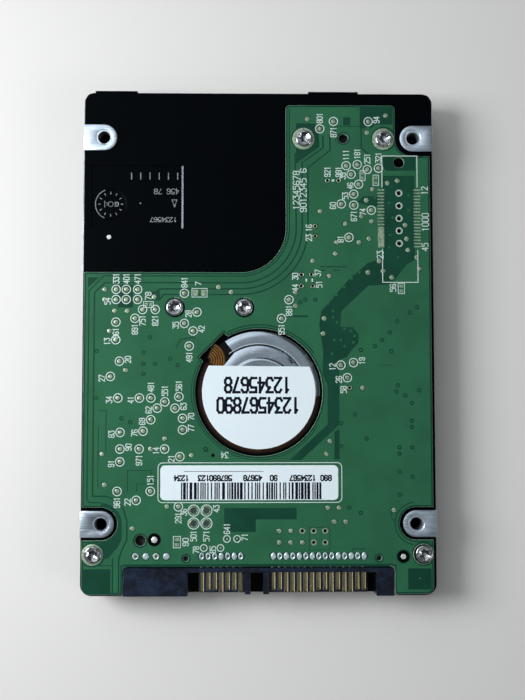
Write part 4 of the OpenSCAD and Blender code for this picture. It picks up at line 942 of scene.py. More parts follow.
def paint_material():
    """Black coat with a fine peel, painted lighter on the upright walls as painted sheen, bare milled metal
    on the bosses' tops, and a rubbed line on the side edges."""
    c = colours()
    material, tree, shader = principled("black_coat", Specular_IOR_Level=0.022)
    place = place_mm(tree)
    peel = pattern(tree, "grain", place, 4.0)
    milled = pattern(tree, "brushed", place, 9.0)
    level = {"Place": place, "Level": Z_TOP - 0.12}
    tops = use(tree, "above", above, {"Place": ("Vector", None), "Level": ("Float", 9.0)}, ("Mask",), level)
    marks = wear(tree, place)
    across, _, up = parts_of(tree, place)
    rim = fit(tree, maths(tree, "ABSOLUTE", across), WIDTH / 2 - 0.20, WIDTH / 2 - 0.06)
    high = fit(tree, up, Z_BOARD - 0.45, Z_BOARD - 0.2)
    rubbed = maths(tree, "MULTIPLY", rim, high)
    patchy = maths(tree, "MULTIPLY", rubbed, fit(tree, peel["Fine"], 0.3, 0.5, 0.25, 0.9))
    bare = maths(tree, "MAXIMUM", tops["Mask"], patchy)
    # Painted sheen: the upright walls get a base colour five times lighter than the flats, standing in for
    # light caught by the sides
    wall_sheen = fit(tree, facing_up(tree), 0.3, 0.9, 1.0, 0.0)
    flat = mix_colour(tree, peel["Cloud"], c.paint, shade(c.paint, 1.3))
    black = mix_colour(tree, wall_sheen, flat, shade(c.paint, 5.0))
    streaks = fit(tree, mix_value(tree, 0.4, milled["Fine"], milled["Cloud"]), 0.32, 0.68)
    metal = mix_colour(tree, streaks, shade(c.machined, 0.5), shade(c.machined, 1.28))
    dull = maths(tree, "MULTIPLY_ADD", marks["Smear"], 0.12, 0.36)
    bright = mix_value(tree, milled["Fine"], 0.26, 0.42)
    feed(tree, shader, {"Base Color": mix_colour(tree, bare, black, metal), "Metallic": bare,
                        "Roughness": mix_value(tree, bare, dull, bright)})
    bump(tree, shader, mix_value(tree, bare, peel["Fine"], milled["Fine"]), 0.006)
    return material


class DRIVE_OT_casting(DriveOperator):
    """Adds the casting with chamfered bosses, threads in the mounting holes and the marks of the mould"""
    bl_idname = "drive.casting"
    bl_label = "Casting"

    def execute(self, context):
        low, high = node_box("base_casting")
        paint = paint_material()

        def weight(middle, along, normals):
            level = max(abs(n.z) for n in normals) > 0.9
            rim = min(middle.x - low[0], high[0] - middle.x, middle.y - low[1], high[1] - middle.y) < 0.6
            at_board = Z_BOARD - 0.05 < middle.z < Z_BOARD + 0.05
            return 1.0 if rim and level and (at_board or middle.z < 1.0) else 0.0

        edge = (sizes().edge_round / MM, 3)
        casting = refined("base_casting", "casting", paint, edge, weight)
        # The bosses of the casting stand back a little, under their milled tops
        move_points(casting.data, lambda p: p[:, 2] > (Z_TOP - 0.02) * MM, (0, 0, -0.1 * MM))
        self.bosses(paint, sizes().hole_chamfer / MM)
        self.threads(sizes().thread_depth / MM)
        self.marks(paint)
        return {"FINISHED"}

    def bosses(self, paint, chamfer):
        """Milled tops of the four bosses: flat, with a cone of the chamfer's width at the hole and a rounded
        edge. Each is an arc round the hole, carried on to the drive's side."""
        shapes = []
        steps = [BORE_R + chamfer * k for k in (0.5, 0.9, 1.0, 1.1)]
        for y, side in itertools.product(HOLE_YS, (-1, 1)):
            x, end, reach = side * HOLE_X, side * WIDTH / 2, side * BOSS_R
            around = arc(x, y, BOSS_R, side * 90, side * 90 + 180, 32)
            outline = np.vstack([around, [[end, y - reach], [end, y + reach]]])
            rims = [offset(outline, 0.05), offset(outline, 0.14)]
            keep = region(("add", [outline]), ("cut", [circle(x, y, BORE_R, 40)]),
                          rings=rims + [circle(x, y, r, 40) for r in steps])

            def top(px, py, x=x, y=y, outline=outline, rim=rims[0]):
                r = np.hypot(px - x, py - y)
                cone = np.interp(r, [BORE_R, *steps[1:]], [-chamfer, -0.12 * chamfer, -0.03 * chamfer, 0])
                on_edge, on_rim = (np.hypot(px[:, None] - o[:, 0], py[:, None] - o[:, 1]).min(1) < 0.003
                                   for o in (outline, rim))
                return Z_TOP + np.minimum(cone, np.where(on_edge, -0.10, np.where(on_rim, -0.03, 0)))

            shapes.append(prism(*keep, Z_TOP - 0.45, top))
        piece("milled_bosses", joined(*shapes), paint, weld=True, smooth=35)

    def threads(self, ridge):
        """Each thread is a small ridge carried along a helix: the angle grows evenly with the depth."""
        steel = finish("cut_thread", (0.30, 0.31, 0.33), (0.10, 0.10, 0.11), (0.3, 0.45), 1.0, per_mm=5.0)
        pitch = 0.5
        below = [((x, y, Z_TOP), 0) for x in (-HOLE_X, HOLE_X) for y in HOLE_YS]
        beside = [((side * WIDTH / 2, y, Z_TOP - 3.0), side) for side in (-1, 1) for y in HOLE_YS]
        shapes = []
        for depth, holes in ((2.5, below), (2.0, beside)):
            a = np.linspace(0, 2 * np.pi * depth / pitch, int(depth / pitch * 28))
            radial = np.stack([np.cos(a), np.sin(a), np.zeros_like(a)], 1)
            path = radial * (BORE_R + 0.02)
            path[:, 2] = -0.35 - a / (2 * np.pi) * pitch
            section = [(0.0, 0.2), (0.0, -0.2), (-ridge, -0.03), (-ridge, 0.03)]
            verts, faces = swept(path, section, radial)
            for place, side in holes:
                lying = np.stack([verts[:, 2] * side, verts[:, 1], verts[:, 0] * side], 1)
                shapes.append(shifted((lying if side else verts, faces), place))
        piece("mounting_threads", joined(*shapes), steel, weld=True)

    def marks(self, paint):
        """Raised figures and the month wheel in the casting's recess, and the slope at its right wall."""
        y0, x1, y1, z = 22.15, -15.0, 34.95, Z_BOARD - 0.25
        wheel = (-29.5, 27.1)
        bars = [box(x - 0.1, 32.1, x + 0.1, 33.5) for x in -25.4 + 1.84 * np.arange(6)]
        bars += digits("456 78", 1.0, 0.85, 0.16, 180, -18.4, 29.7)
        bars += digits("1234567", 0.85, 0.78, 0.15, 180, -19.0, 24.0)
        bars += dashes([[-17.3, 28.0], [-16.8, 26.6], [-16.3, 28.0], [-17.3, 28.0]], 0.16)
        bars += [circle(-23.6, 27.3, 0.15, 10)]
        for k in range(12):
            bars += moved(moved([box(-0.08, 2.0, 0.08, 2.5)], turn=30 * k), *wheel)
        bars += digits("6", 0.8, 0.9, 0.15, 180, wheel[0] + 1.2, wheel[1])
        bars += dashes([[-30.7, 26.5], [-30.7, 27.7]], 0.14)
        bars += dashes([[-30.4, 26.8], [-29.9, 27.1], [-30.4, 27.4]], 0.12)
        # The arc on only the left part of the wheel's rim is a painted highlight, on the side that faces the
        # light
        bars += ribbon(circle(*wheel, 0.5, 12), 0.12, True) + ribbon(arc(*wheel, 3.04, 112, 246, 24), 0.16)
        slope = np.array([[x1 - 0.44, z], [x1 + 0.01, z], [x1 + 0.01, Z_BOARD - 0.02]])
        ends = [np.c_[slope[:, 0], np.full(3, y), slope[:, 1]] for y in (y0 + 0.05, y1 - 0.05)]
        wedge = (np.vstack(ends), [[0, 1, 2], [3, 5, 4], [0, 3, 4, 1], [1, 4, 5, 2], [2, 5, 3, 0]])
        dish = turned([(0, z - 0.16), (2.86, z - 0.16), (3.2, z - 0.02), (3.2, z - 0.3), (0, z - 0.3)], 64)
        pit = turned([(0, 0.02), (0.84, 0.02), (0.84, 0.16), (0.6, 0.22), (0, 0.15)], 24)
        # Painted glint: the raised figures and that arc get a lighter, part-metal coat than the black
        # casting; this is partly wear on the raised marks and partly painted highlight
        worn_and_glint = finish("worn_and_glint_coat", (0.42, 0.46, 0.50), (0.02, 0.024, 0.028), (0.2, 0.32), 0.4, "grain", 1.1,
                      0.006, cloud=0.0)
        dull = finish("drawn_wall", (0.085, 0.095, 0.115), (0.05, 0.057, 0.07), (0.25, 0.35), 0.7, "grain",
                      1.2, 0.006)
        # The pit's near-white, part-metal colour is partly a bare spot and partly a painted highlight
        bare = finish("bare_spot_and_glint", (0.85, 0.88, 0.92), (0.45, 0.48, 0.52), (0.25, 0.4), 0.6, "grain", 2.5,
                      0.01)
        piece("casting_marks", slab(bars, z - 0.02, z + 0.13), worn_and_glint, bevel=(0.05, 2))
        piece("month_wheel", shifted(dish, (*wheel, 0.0)), paint, weld=True)
        piece("recess_slope", wedge, dull, weld=True, bevel=(0.05, 2))
        oval = shifted(pit, (-29.7, 20.5, Z_BOARD - 0.3), (1.0, 0.6, 1.0))
        piece("pin_mark", oval, bare, weld=True, smooth=60)


def mask_material(name, main, other, cut_edges):
    """Solder mask: glossy green lacquer with slow changes of tone and the weave just showing; cut edges show
    the laminate."""
    material, tree, shader = principled(name, Specular_IOR_Level=0.12)
    place = place_mm(tree)
    cloth = pattern(tree, "woven", place, 0.55)
    marks = wear(tree, place)
    tone = mix_colour(tree, cloth["Cloud"], main, other)
    lacquer = mix_colour(tree, mix_value(tree, marks["Spots"], 0.0, 0.10), tone, (0.45, 0.55, 0.42))
    if cut_edges:
        cut = fit(tree, facing_up(tree), 0.80, 0.95, 1.0, 0.0)
        lacquer = mix_colour(tree, cut, lacquer, colours().laminate)
    gloss = maths(tree, "MULTIPLY_ADD", marks["Smear"], 0.14, 0.34)
    feed(tree, shader, {"Base Color": lacquer, "Roughness": gloss})
    bump(tree, shader, cloth["Fine"], 0.003)
    return material


class DRIVE_OT_board(DriveOperator):
    """Adds the circuit board: laminate with a routed rim, copper under green mask, pads and printing"""
    bl_idname = "drive.board"
    bl_label = "Circuit board"

    def execute(self, context):
        self.loops = face_loops("circuit_board", Z_BOARD)
        self.outer = [l for l in self.loops if anticlockwise(l)]
        self.inner = [l for l in self.loops if not anticlockwise(l)]
        wide = max(self.outer, key=len)
        beside_connector = (np.abs(wide[:, 0]) < CONNECTOR[1][0] + 0.2) & (wide[:, 1] < -40)
        self.connector_back = wide[beside_connector][:, 1].max()
        self.laminate()
        self.copper()
        self.pads()
        self.sunk_pads()
        self.printing()
        return {"FINISHED"}

    def drilled(self):
        """Drilled points as (x, y, radius of the hole)."""
        kinds = ((spots(DRILLED_POINTS), 0.3), (spots(RING_PADS), 0.33), (footprint()[1], 0.42))
        return [(x, y, r) for points, r in kinds for x, y in points]

    def laminate(self):
        """Board of the CAD outline with small drilled holes; its upper edge falls away over the width of the
        rim."""
        rim, gap = sizes().board_rim / MM, colours().gap
        drilled = [circle(x, y, r, 14) for x, y, r in self.drilled()]
        # Round corners where the board meets the connector's two back corners
        x, y = CONNECTOR[1][0] + 0.05, self.connector_back
        fills = [np.vstack([[[side * x, y], [side * x, y - 1.0]],
                            arc(side * (x - 1.0), y - 1.0, 1.0, 90 - 90 * side, 90)]) for side in (-1, 1)]
        keep = region(("add", self.outer + fills), ("cut", self.inner), ("cut", drilled),
                      rings=[offset(l, rim) for l in self.loops])
        edge = np.vstack(self.loops)

        def top(x, y):
            on_edge = (np.abs(x[:, None] - edge[:, 0]) + np.abs(y[:, None] - edge[:, 1])).min(1) < 0.003
            return np.where(on_edge, Z_BOARD - rim * 0.8, Z_BOARD)

        green = mask_material("mask_over_laminate", gap, shade(gap, 1.35), True)
        piece("board_laminate", prism(*keep, BOARD[0][2], top), green, stands_for=["circuit_board"],
              smooth=20)

    def openings(self):
        """Round gaps in the copper: round the pads, points and vias, the screws, the pegs and the joints."""
        pad, via = sizes().pad_r / MM, sizes().via_r / MM
        groups = [
            (spots(TEST_POINTS), pad + 0.14, 16), (spots(LARGE_POINTS), 0.92, 24),
            (spots(SMALL_POINTS), 0.34, 12), (spots(PADS), pad + 0.12, 14), (spots(VIAS), via, 14),
            *[([(x, y)], r + 0.3, 16) for x, y, r in self.drilled()],
            *[([(x, y)], r + 0.35, 40) for x, y, r, _ in SCREW_PADS], (PLAIN_SCREWS, 2.05, 36),
            *[([(x, y)], r, n) for x, y, r, n in PEG_HOLES],
            ([(x, JOINT_Y) for x in JUMPER_ROW], 0.78, 16), ([(x, JOINT_Y) for x in PIN_ROW], 0.56, 12),
            *[([(x, y)], r, n) for x, y, r, n in COVERED_HOLES],
        ]
        return [circle(x, y, r, n) for points, r, n in groups for x, y in points]

    def copper(self):
        """Copper areas and traces as one raised layer: the outline moved inwards, less gaps and openings."""
        inset, green = sizes().copper_inset / MM, colours().mask
        outer, inner = [offset(l, inset) for l in self.outer], [offset(l, inset) for l in self.inner]
        lines = [q for points, width in dark_lines() for q in ribbon(points, width)]
        dots = [circle(x, y, 0.2, 10) for x, y in spots(VIAS)]
        dots += [circle(x, y, 0.26, 10) for x, y in spots(BAND_VIAS)]
        traces = ribbon([[25.4, 33.5], [31.4, 33.5]], 0.9) + ribbon([[21.9, 43.0], [21.9, 39.4]], 0.9) \
            + ribbon([[12.0, 14.25], [17.0, 14.25]], 0.3)
        keep = region(("add", outer), ("cut", inner), ("cut", dark_patches()), ("add", traces),
                      ("cut", lines), ("cut", self.openings()), ("add", dots))
        lacquer = mask_material("mask_over_copper", green, shade(green, 0.84), False)
        piece("board_copper", prism(*keep, Z_BOARD - 0.02, Z_BOARD + COPPER), lacquer)

    def pads(self):
        """Tinned pads as low domes, rings round the drilled points, narrow pads of the bare connector place,
        and a painted highlight line along one board edge.
        """
        tinned = colours().tin
        tin = finish("tin_and_edge_highlight", tinned, shade(tinned, 0.5), (0.28, 0.42), 0.35, per_mm=2.5, depth=0.02,
                     cloud=0.0, spread=(0.35, 0.6))
        z, r = PAD_Z, sizes().pad_r / MM
        dome = turned([(0, 0), (r, 0), (r, 0.03), (r * 0.85, 0.055), (0, 0.07)], 14)
        rim = turned([(0.64, 0), (0.82, 0), (0.82, 0.03), (0.74, 0.06), (0.64, 0.04), (0.64, 0)], 26)
        bead = turned([(0, 0), (0.22, 0), (0.22, 0.03), (0, 0.05)], 10)
        shapes = [spread_out(dome, np.vstack([spots(TEST_POINTS), spots(PADS)]), z),
                  spread_out(rim, spots(LARGE_POINTS), z), spread_out(bead, spots(SMALL_POINTS), z)]
        for x, y, r in self.drilled():
            w = 0.16 if r < 0.32 else 0.27
            ring = [(r, 0.0), (r + w, 0.0), (r + w, 0.03), (r + w / 2, 0.06), (r, 0.03), (r, 0.0)]
            shapes.append(shifted(turned(ring, 18), (x, y, z)))
        for x, y, r2, r1 in SCREW_PADS:
            ring = [(r1, 0), (r2, 0), (r2, 0.03), (r2 - 0.12, 0.06), (r1, 0.06), (r1, 0)]
            shapes.append(shifted(turned(ring, 48), (x - 0.12, y - 0.06, z)))
        for x, y in PLAIN_SCREWS:
            shapes.append(slab(ribbon(arc(x + 0.1, y - 0.05, 2.0, -70, 95, 40), 0.09), z, z + 0.04))
        # Painted highlight: a narrow tin-coloured line along the board's edge round the connector's right
        # back corner, standing in for the light caught by that edge
        x, y = CONNECTOR[1][0] - 0.95, self.connector_back - 1.0
        edge = np.vstack([arc(x, y, 1.1, 90, 0, 10), [[x + 1.1, -49.75], [x + 1.6, -49.95]]])
        shapes.append(slab(footprint()[0] + resistor_pads() + ribbon(edge, 0.1), z, z + 0.055))
        piece("tin_pads_and_edge_highlight", joined(*shapes), tin, weld=True)

    def sunk_pads(self):
        """Cups in the large points darkened with painted shade, black bores at the pegs, black rings round
        the screws' heads as painted shadow, and the pegs' ends.
        """
        z = PAD_Z
        # Painted shade: the cups' dark colour stands in for the shade inside their hollows
        cup = turned([(0, 0), (0.66, 0), (0.66, 0.045), (0.4, 0.02), (0, 0.015)], 26)
        dim = finish("painted_shade_sunk_pad", (0.09, 0.16, 0.13), (0.015, 0.035, 0.03), (0.15, 0.3), 0.5, per_mm=1.5,
                     depth=0.02)
        piece("sunk_pads", spread_out(cup, spots(LARGE_POINTS), z), dim, weld=True)
        black = finish("black_bore_and_shadow", (0.002, 0.003, 0.003), (0.001, 0.001, 0.001), (0.5, 0.7), per_mm=3.0,
                       Specular_IOR_Level=0.03)
        pits = [turned([(0, 0), (r, 0), (r, 0.035), (r - 0.08, 0.045), (r - 0.5, 0.03), (0, 0.03)], 40)
                for r in (1.25, 1.16, 0.24)]
        # Painted shadow: a black ring just round the heads of the plain screws and of the last clamping screw
        # stands in for the shadow under each head's rim
        gap = turned([(1.5, 0), (1.9, 0), (1.9, 0.03), (1.8, 0.045), (1.5, 0.03), (1.5, 0)], 40)
        pits += [gap] * (len(PLAIN_SCREWS) + 1)
        at = [(x, y, z) for x, y, _, _ in PEG_HOLES + COVERED_HOLES[:1]]
        at += [(x + 0.08, y - 0.04, z) for x, y in PLAIN_SCREWS] + [(*SCREW_PADS[-1][:2], z)]
        piece("bores_and_shadow_rings", joined(*map(shifted, pits, at)), black, weld=True)
        rivets = [turned([(0, 0.02), (r, 0.02), (r, 0.09), (r * 0.88, 0.13), (0, 0.135)], 24)
                  for r in (0.6, 0.52)]
        bright = finish("pin_end", (0.84, 0.86, 0.86), (0.6, 0.62, 0.62), (0.3, 0.45), 0.35, per_mm=3.0)
        piece("pin_ends", joined(*map(shifted, rivets, at[:2])), bright, weld=True)

    def printing(self):
        """White printing: rings, outlines and plain numbers, as one thin layer."""
        s, pale = sizes(), colours().print_white
        ring, width, line = s.ring_r / MM, s.ring_w / MM, s.printing / MM
        shapes, number = [], itertools.count(10)

        def label(x, y, side, reach):
            text = str(next(number) * 7 % 90 + 10)
            if side == "-":
                return []
            dx, dy = {"n": (0, reach + 1.25), "s": (0, -reach - 1.25), "w": (-reach - 0.75, -0.35),
                      "e": (reach + 0.75, 0.35)}[side]
            return digits(text + "1" * (side in "ns"), 1.1, 0.72, line, 90, x + dx, y + dy)

        for text, radius, n in ((TEST_POINTS, ring, 20), (LARGE_POINTS, 1.18, 26), (SMALL_POINTS, 0.75, 16)):
            for (x, y), side in zip(*places(text)):
                shapes += ribbon(circle(x, y, radius - width / 2, n), width, True) + label(x, y, side, radius)
        for (x, y), side in zip(*places(DRILLED_POINTS)):
            shapes += label(x, y, side, 0.5)
        _, holes, lines = footprint()
        for x, y in holes:
            shapes += ribbon(circle(x, y, 0.62, 16), 0.14, True)
        for points in lines:
            shapes += ribbon(points, line)
        for corners in RESISTORS:
            shapes += ribbon(box(*corners), line * 0.8, True)
        shapes += ribbon(box(-19.75, -31.95, 16.3, -24.2, 0.9), line, True)
        for text, height, pitch, turn, x, y in BOARD_NUMBERS:
            shapes += digits(text, height, pitch, line, turn, x, y)
        shapes += [box(9.3, 11.6, 9.6, 12.2), box(10.5, 11.6, 10.8, 12.2), box(14.6, 31.8, 15.1, 32.2)]
        white = finish("board_printing", pale, shade(pale, 0.8), (0.5, 0.65), per_mm=6.0, depth=0.002,
                       Specular_IOR_Level=0.3)
        shape = slab(shapes, Z_BOARD - 0.01, Z_BOARD + COPPER + 0.015)
        piece("board_printing", shape, white)


def screw_shape(r, dome, shank_r, length, socket_r, depth):
    """Screw with a domed head and a six-lobed bowl for a socket: a profile turned about the axis, a parabola
    in the bowl, whose radius there also swings six times round."""
    t = np.linspace(0, 1, 9)
    reach = r - socket_r - 0.1
    ride = np.stack([r - reach * t, 0.07 + (dome - 0.07) * np.sqrt(1 - (1 - t) ** 2.2)], 1)
    thread = [(shank_r - (0.12 if k % 2 else 0.0), -length + (length - 0.1) * k / 14) for k in range(15)]
    outer = [(0, -length), *thread, (shank_r, 0), (r - 0.06, 0), (r, 0.04), *ride.tolist()]
    shares = (1.0, 0.86, 0.7, 0.52, 0.34, 0.16, 0.0)
    bowl = [(socket_r * k, dome - 0.04 - depth * (1 - k ** 2)) for k in shares]
    socket = [(socket_r + 0.05, dome - 0.005), *bowl]
    lobes = [0.0] * len(outer) + [0.03, 0.07, 0.07, 0.05, 0.03, 0.0, 0.0, 0.0]
    return turned(outer + socket, 48, lobes)


class DRIVE_OT_screws(DriveOperator):
    """Adds the screws of the board and of the cover, with domed heads and six-lobed sockets"""
    bl_idname = "drive.screws"
    bl_label = "Screws"

    def execute(self, context):
        nickel = finish("bright_nickel", (0.58, 0.61, 0.64), (0.24, 0.26, 0.28), (0.08, 0.16), 1.0, "grain",
                        1.6, 0.012, smears=0.12, cloud=0.0, spread=(0.35, 0.65))
        low, _ = node_box("board_screws")
        seat = Z_BOARD + 0.03
        head = screw_shape(1.72, sizes().screw_dome / MM, 0.7, seat - low[2], 1.22, 0.46)
        at = [(x, y, seat) for x, y in [pad[:2] for pad in SCREW_PADS] + PLAIN_SCREWS]
        piece("board_screws_domed", copies(head, at, [11 * k for k in range(6)]), nickel,
              stands_for=["board_screws"], weld=True, smooth=35)
        verts, faces = screw_shape(1.62, 0.36, 0.78, 2.6, 0.9, 0.4)
        at = [(x, y, 0.4) for x, y in COVER_SCREWS]
        black = finish("black_oxide", (0.05, 0.05, 0.052), (0.02, 0.02, 0.021), (0.3, 0.45), 0.8, per_mm=4.0)
        shape = copies((verts * (1, -1, -1), faces), at, [13 * k for k in range(7)])
        piece("cover_screws_lobed", shape, black, stands_for=["cover_screws"], weld=True,
              smooth=35)
        return {"FINISHED"}


class DRIVE_OT_motor(DriveOperator):
    """Adds the motor's plate with its turned steps, its flexible circuit and its round label"""
    bl_idname = "drive.motor"
    bl_label = "Motor"

    def execute(self, context):
        metal = colours().machined
        sx, sy = SPINDLE
        low, high = node_box("motor_bracket")
        floor_z, top = BOARD[0][2], high[2]
        # Height of the plate over its radius: the inner steps run round a point a little beside the axis
        inner = ([0, 5.0, 5.3, 6.7, 6.9, 7.1, 7.4, 8.3, 10.2],
                 [-0.42, -0.42, -0.38, -0.14, -0.11, -0.15, -0.32, -0.30, -0.58])
        outer = ([9.2, 9.42, 9.55, 9.8, 10.6, 11.5, 11.95, 12.05, 12.1],
                 [-0.45, -0.06, -0.02, 0, 0, -0.06, -0.16, -0.20, -0.26])
        step, rim = 9.18, outer[0][-1]
        ex, ey = sx + 0.45, sy - 0.5
        window = np.array([[-6.75, 10.4], [-6.7, 10.1], [-5.0, 7.9], [-5.0, 7.6], [-6.8, 5.4], [-7.1, 5.2],
                           [-11.4, 5.4], [-13.0, 7.0], [-9.0, 12.0]]) + SPINDLE
        rings = [circle(ex, ey, r, 112) for r in inner[0][1:-1]]
        rings += [circle(sx, sy, r, 128) for r in (*outer[0][:-1], step)]
        keep = region(("add", [circle(sx, sy, rim, 128)]), ("cut", [window, circle(sx, sy, 3.22, 48)]),
                      rings=rings)

        def height(x, y):
            inside = np.interp(np.hypot(x - ex, y - ey), *inner)
            r = np.hypot(x - sx, y - sy)
            return top + np.where(r < step + 0.01, inside, np.interp(r, *outer))

        face = finish("turned_plate", shade(metal, 1.15), shade(metal, 0.6), (0.12, 0.22), 1.0, "spun", 5.0,
                      0.004, centre=(sx, sy), smears=0.2, cloud=0.25)
        # Under the plate: a tube round the shaft's bearing and a disc that reaches below the board
        r1, r2, r3 = 3.25, 3.8, 11.6
        z1, z2, z3 = low[2], floor_z - 0.4, floor_z + 0.06
        spigot = turned([(r1, z1), (r2, z1), (r2, z2), (r3, z2), (r3, z3), (r1, z3), (r1, z1)], 96)
        plate = joined(prism(*keep, floor_z + 0.05, height), shifted(spigot, (sx, sy, 0)))
        piece("motor_plate", plate, face, stands_for=["motor_bracket"], weld=True,
              smooth=24)
        # Painted highlight: lighter arcs over part of the inner and outer steps stand in for the light that
        # the turned plate catches there
        bright = finish("painted_highlight_arc", shade(metal, 1.4), shade(metal, 1.1), (0.3, 0.45), 0.8, "spun", 5.0,
                        0.002, centre=(sx, sy))
        highlight_arcs = (((ex, ey, 6.9, 18, 132), -0.11), ((sx, sy, 9.62, 20, 128), -0.01))
        arcs = [slab(ribbon(arc(*at, 60), 0.11), top + z - 0.06, top + z + 0.02) for at, z in highlight_arcs]
        piece("plate_highlight_arcs", joined(*arcs), bright)
        self.circuit(floor_z + 0.12, top)
        self.label()
        return {"FINISHED"}

    def circuit(self, z, top):
        """Flexible circuit: a dark film in the window with curved copper tracks, a black sheet under it as
        painted shade in the window, and the brown ring round the label."""
        amber = colours().film
        film = finish("amber_film", shade(amber, 0.16), shade(amber, 0.05), (0.14, 0.24), 0.1, per_mm=0.7,
                      depth=0.02)
        track = finish("film_track", (0.78, 0.36, 0.06), (0.22, 0.07, 0.008), (0.14, 0.24), 0.85, per_mm=0.7,
                       depth=0.02, cloud=0.0)
        brown = finish("brown_film", (0.028, 0.009, 0.004), (0.006, 0.003, 0.002), (0.15, 0.25), 0.1,
                       per_mm=0.6, Specular_IOR_Level=0.2)
        dark = finish("film_edge_and_window_shade", (0.005, 0.004, 0.004), (0.002, 0.002, 0.002), (0.25, 0.35), per_mm=2.0,
                      Specular_IOR_Level=0.12)
        dull = finish("covered_track", (0.20, 0.07, 0.012), (0.05, 0.015, 0.004), (0.15, 0.3), 0.6,
                      per_mm=0.5)

        def band(r1, r2, a1, a2, n=90):
            return [np.vstack([arc(*SPINDLE, r2, a1, a2, n), arc(*SPINDLE, r1, a2, a1, n)])]

        bend = SPINDLE + (-10.3, 6.3)
        tongue = np.vstack([arc(*bend, 3.75, -45, 72, 24), arc(*bend, 0.5, 72, -45, 8)])
        under = np.array([[-11.5, 4.0], [-4.6, 4.0], [-4.4, 7.7], [-6.0, 11.0], [-8.2, 8.9]]) + SPINDLE
        tracks = [arc(*bend, 1.0 + 0.48 * k, -35, 60 + 3 * (k % 2), 18) for k in range(6)]
        tracks = [q for track_line in tracks for q in ribbon(track_line, 0.2)]
        lines = [arc(*SPINDLE, *at, 80) for at in ((11.34, 196, 318), (11.6, 152, 300))]
        lines = [q for line in lines for q in ribbon(line, 0.06)]
        piece("window_film", slab([tongue], z, z + 0.09), film, stands_for=["motor_flex"])
        # Painted shade: a black sheet under the window hides the parts below and stands in for the shade in
        # the motor
        piece("window_painted_shade", slab([under], z - 0.05, z + 0.01), dark)
        piece("film_tracks", slab(tracks, z + 0.07, z + 0.12), track)
        ring, edge = band(11.25, 11.8, 150, 356), band(11.8, 12.12, 150, 357)
        piece("brown_ring", slab(ring, top - 0.03, top + 0.05), brown)
        piece("ring_edge", slab(edge, top - 0.17, top + 0.03), dark)
        piece("ring_tracks", slab(lines, top + 0.03, top + 0.065), dull)

    def label(self):
        """Round paper label with one straight side, and two rows of plain numbers."""
        c = colours()
        (_, _, low), (_, _, high) = node_box("motor_label")
        paper = finish("label_paper", c.paper, shade(c.paper, 0.93), (0.42, 0.55), 0.0, "grain", 5.0, 0.002,
                       smears=0.08, Specular_IOR_Level=0.3)
        ink = finish("label_ink", c.ink, shade(c.ink, 0.5), (0.4, 0.5), 0.0, "grain", 5.0, 0.001,
                     Specular_IOR_Level=0.1)
        sx, sy = SPINDLE
        r, flat = 11.2, 5.15
        a = math.degrees(math.asin(flat / r))
        outline = arc(sx, sy, r, 180 - a - 0.5, 360 + a - 0.5, 90)
        piece("motor_label_paper", slab([outline], low + 0.005, high - 0.03), paper,
              stands_for=["motor_label"], bevel=(0.02, 2))
        text = digits("12345678", 2.8, 1.64, 0.5, 180, sx - 0.3, sy + 1.4)
        text += digits("1234567890", 2.8, 1.64, 0.5, 180, sx - 0.15, sy - 2.6)
        piece("motor_label_numbers", slab(text, high - 0.04, high - 0.022), ink)


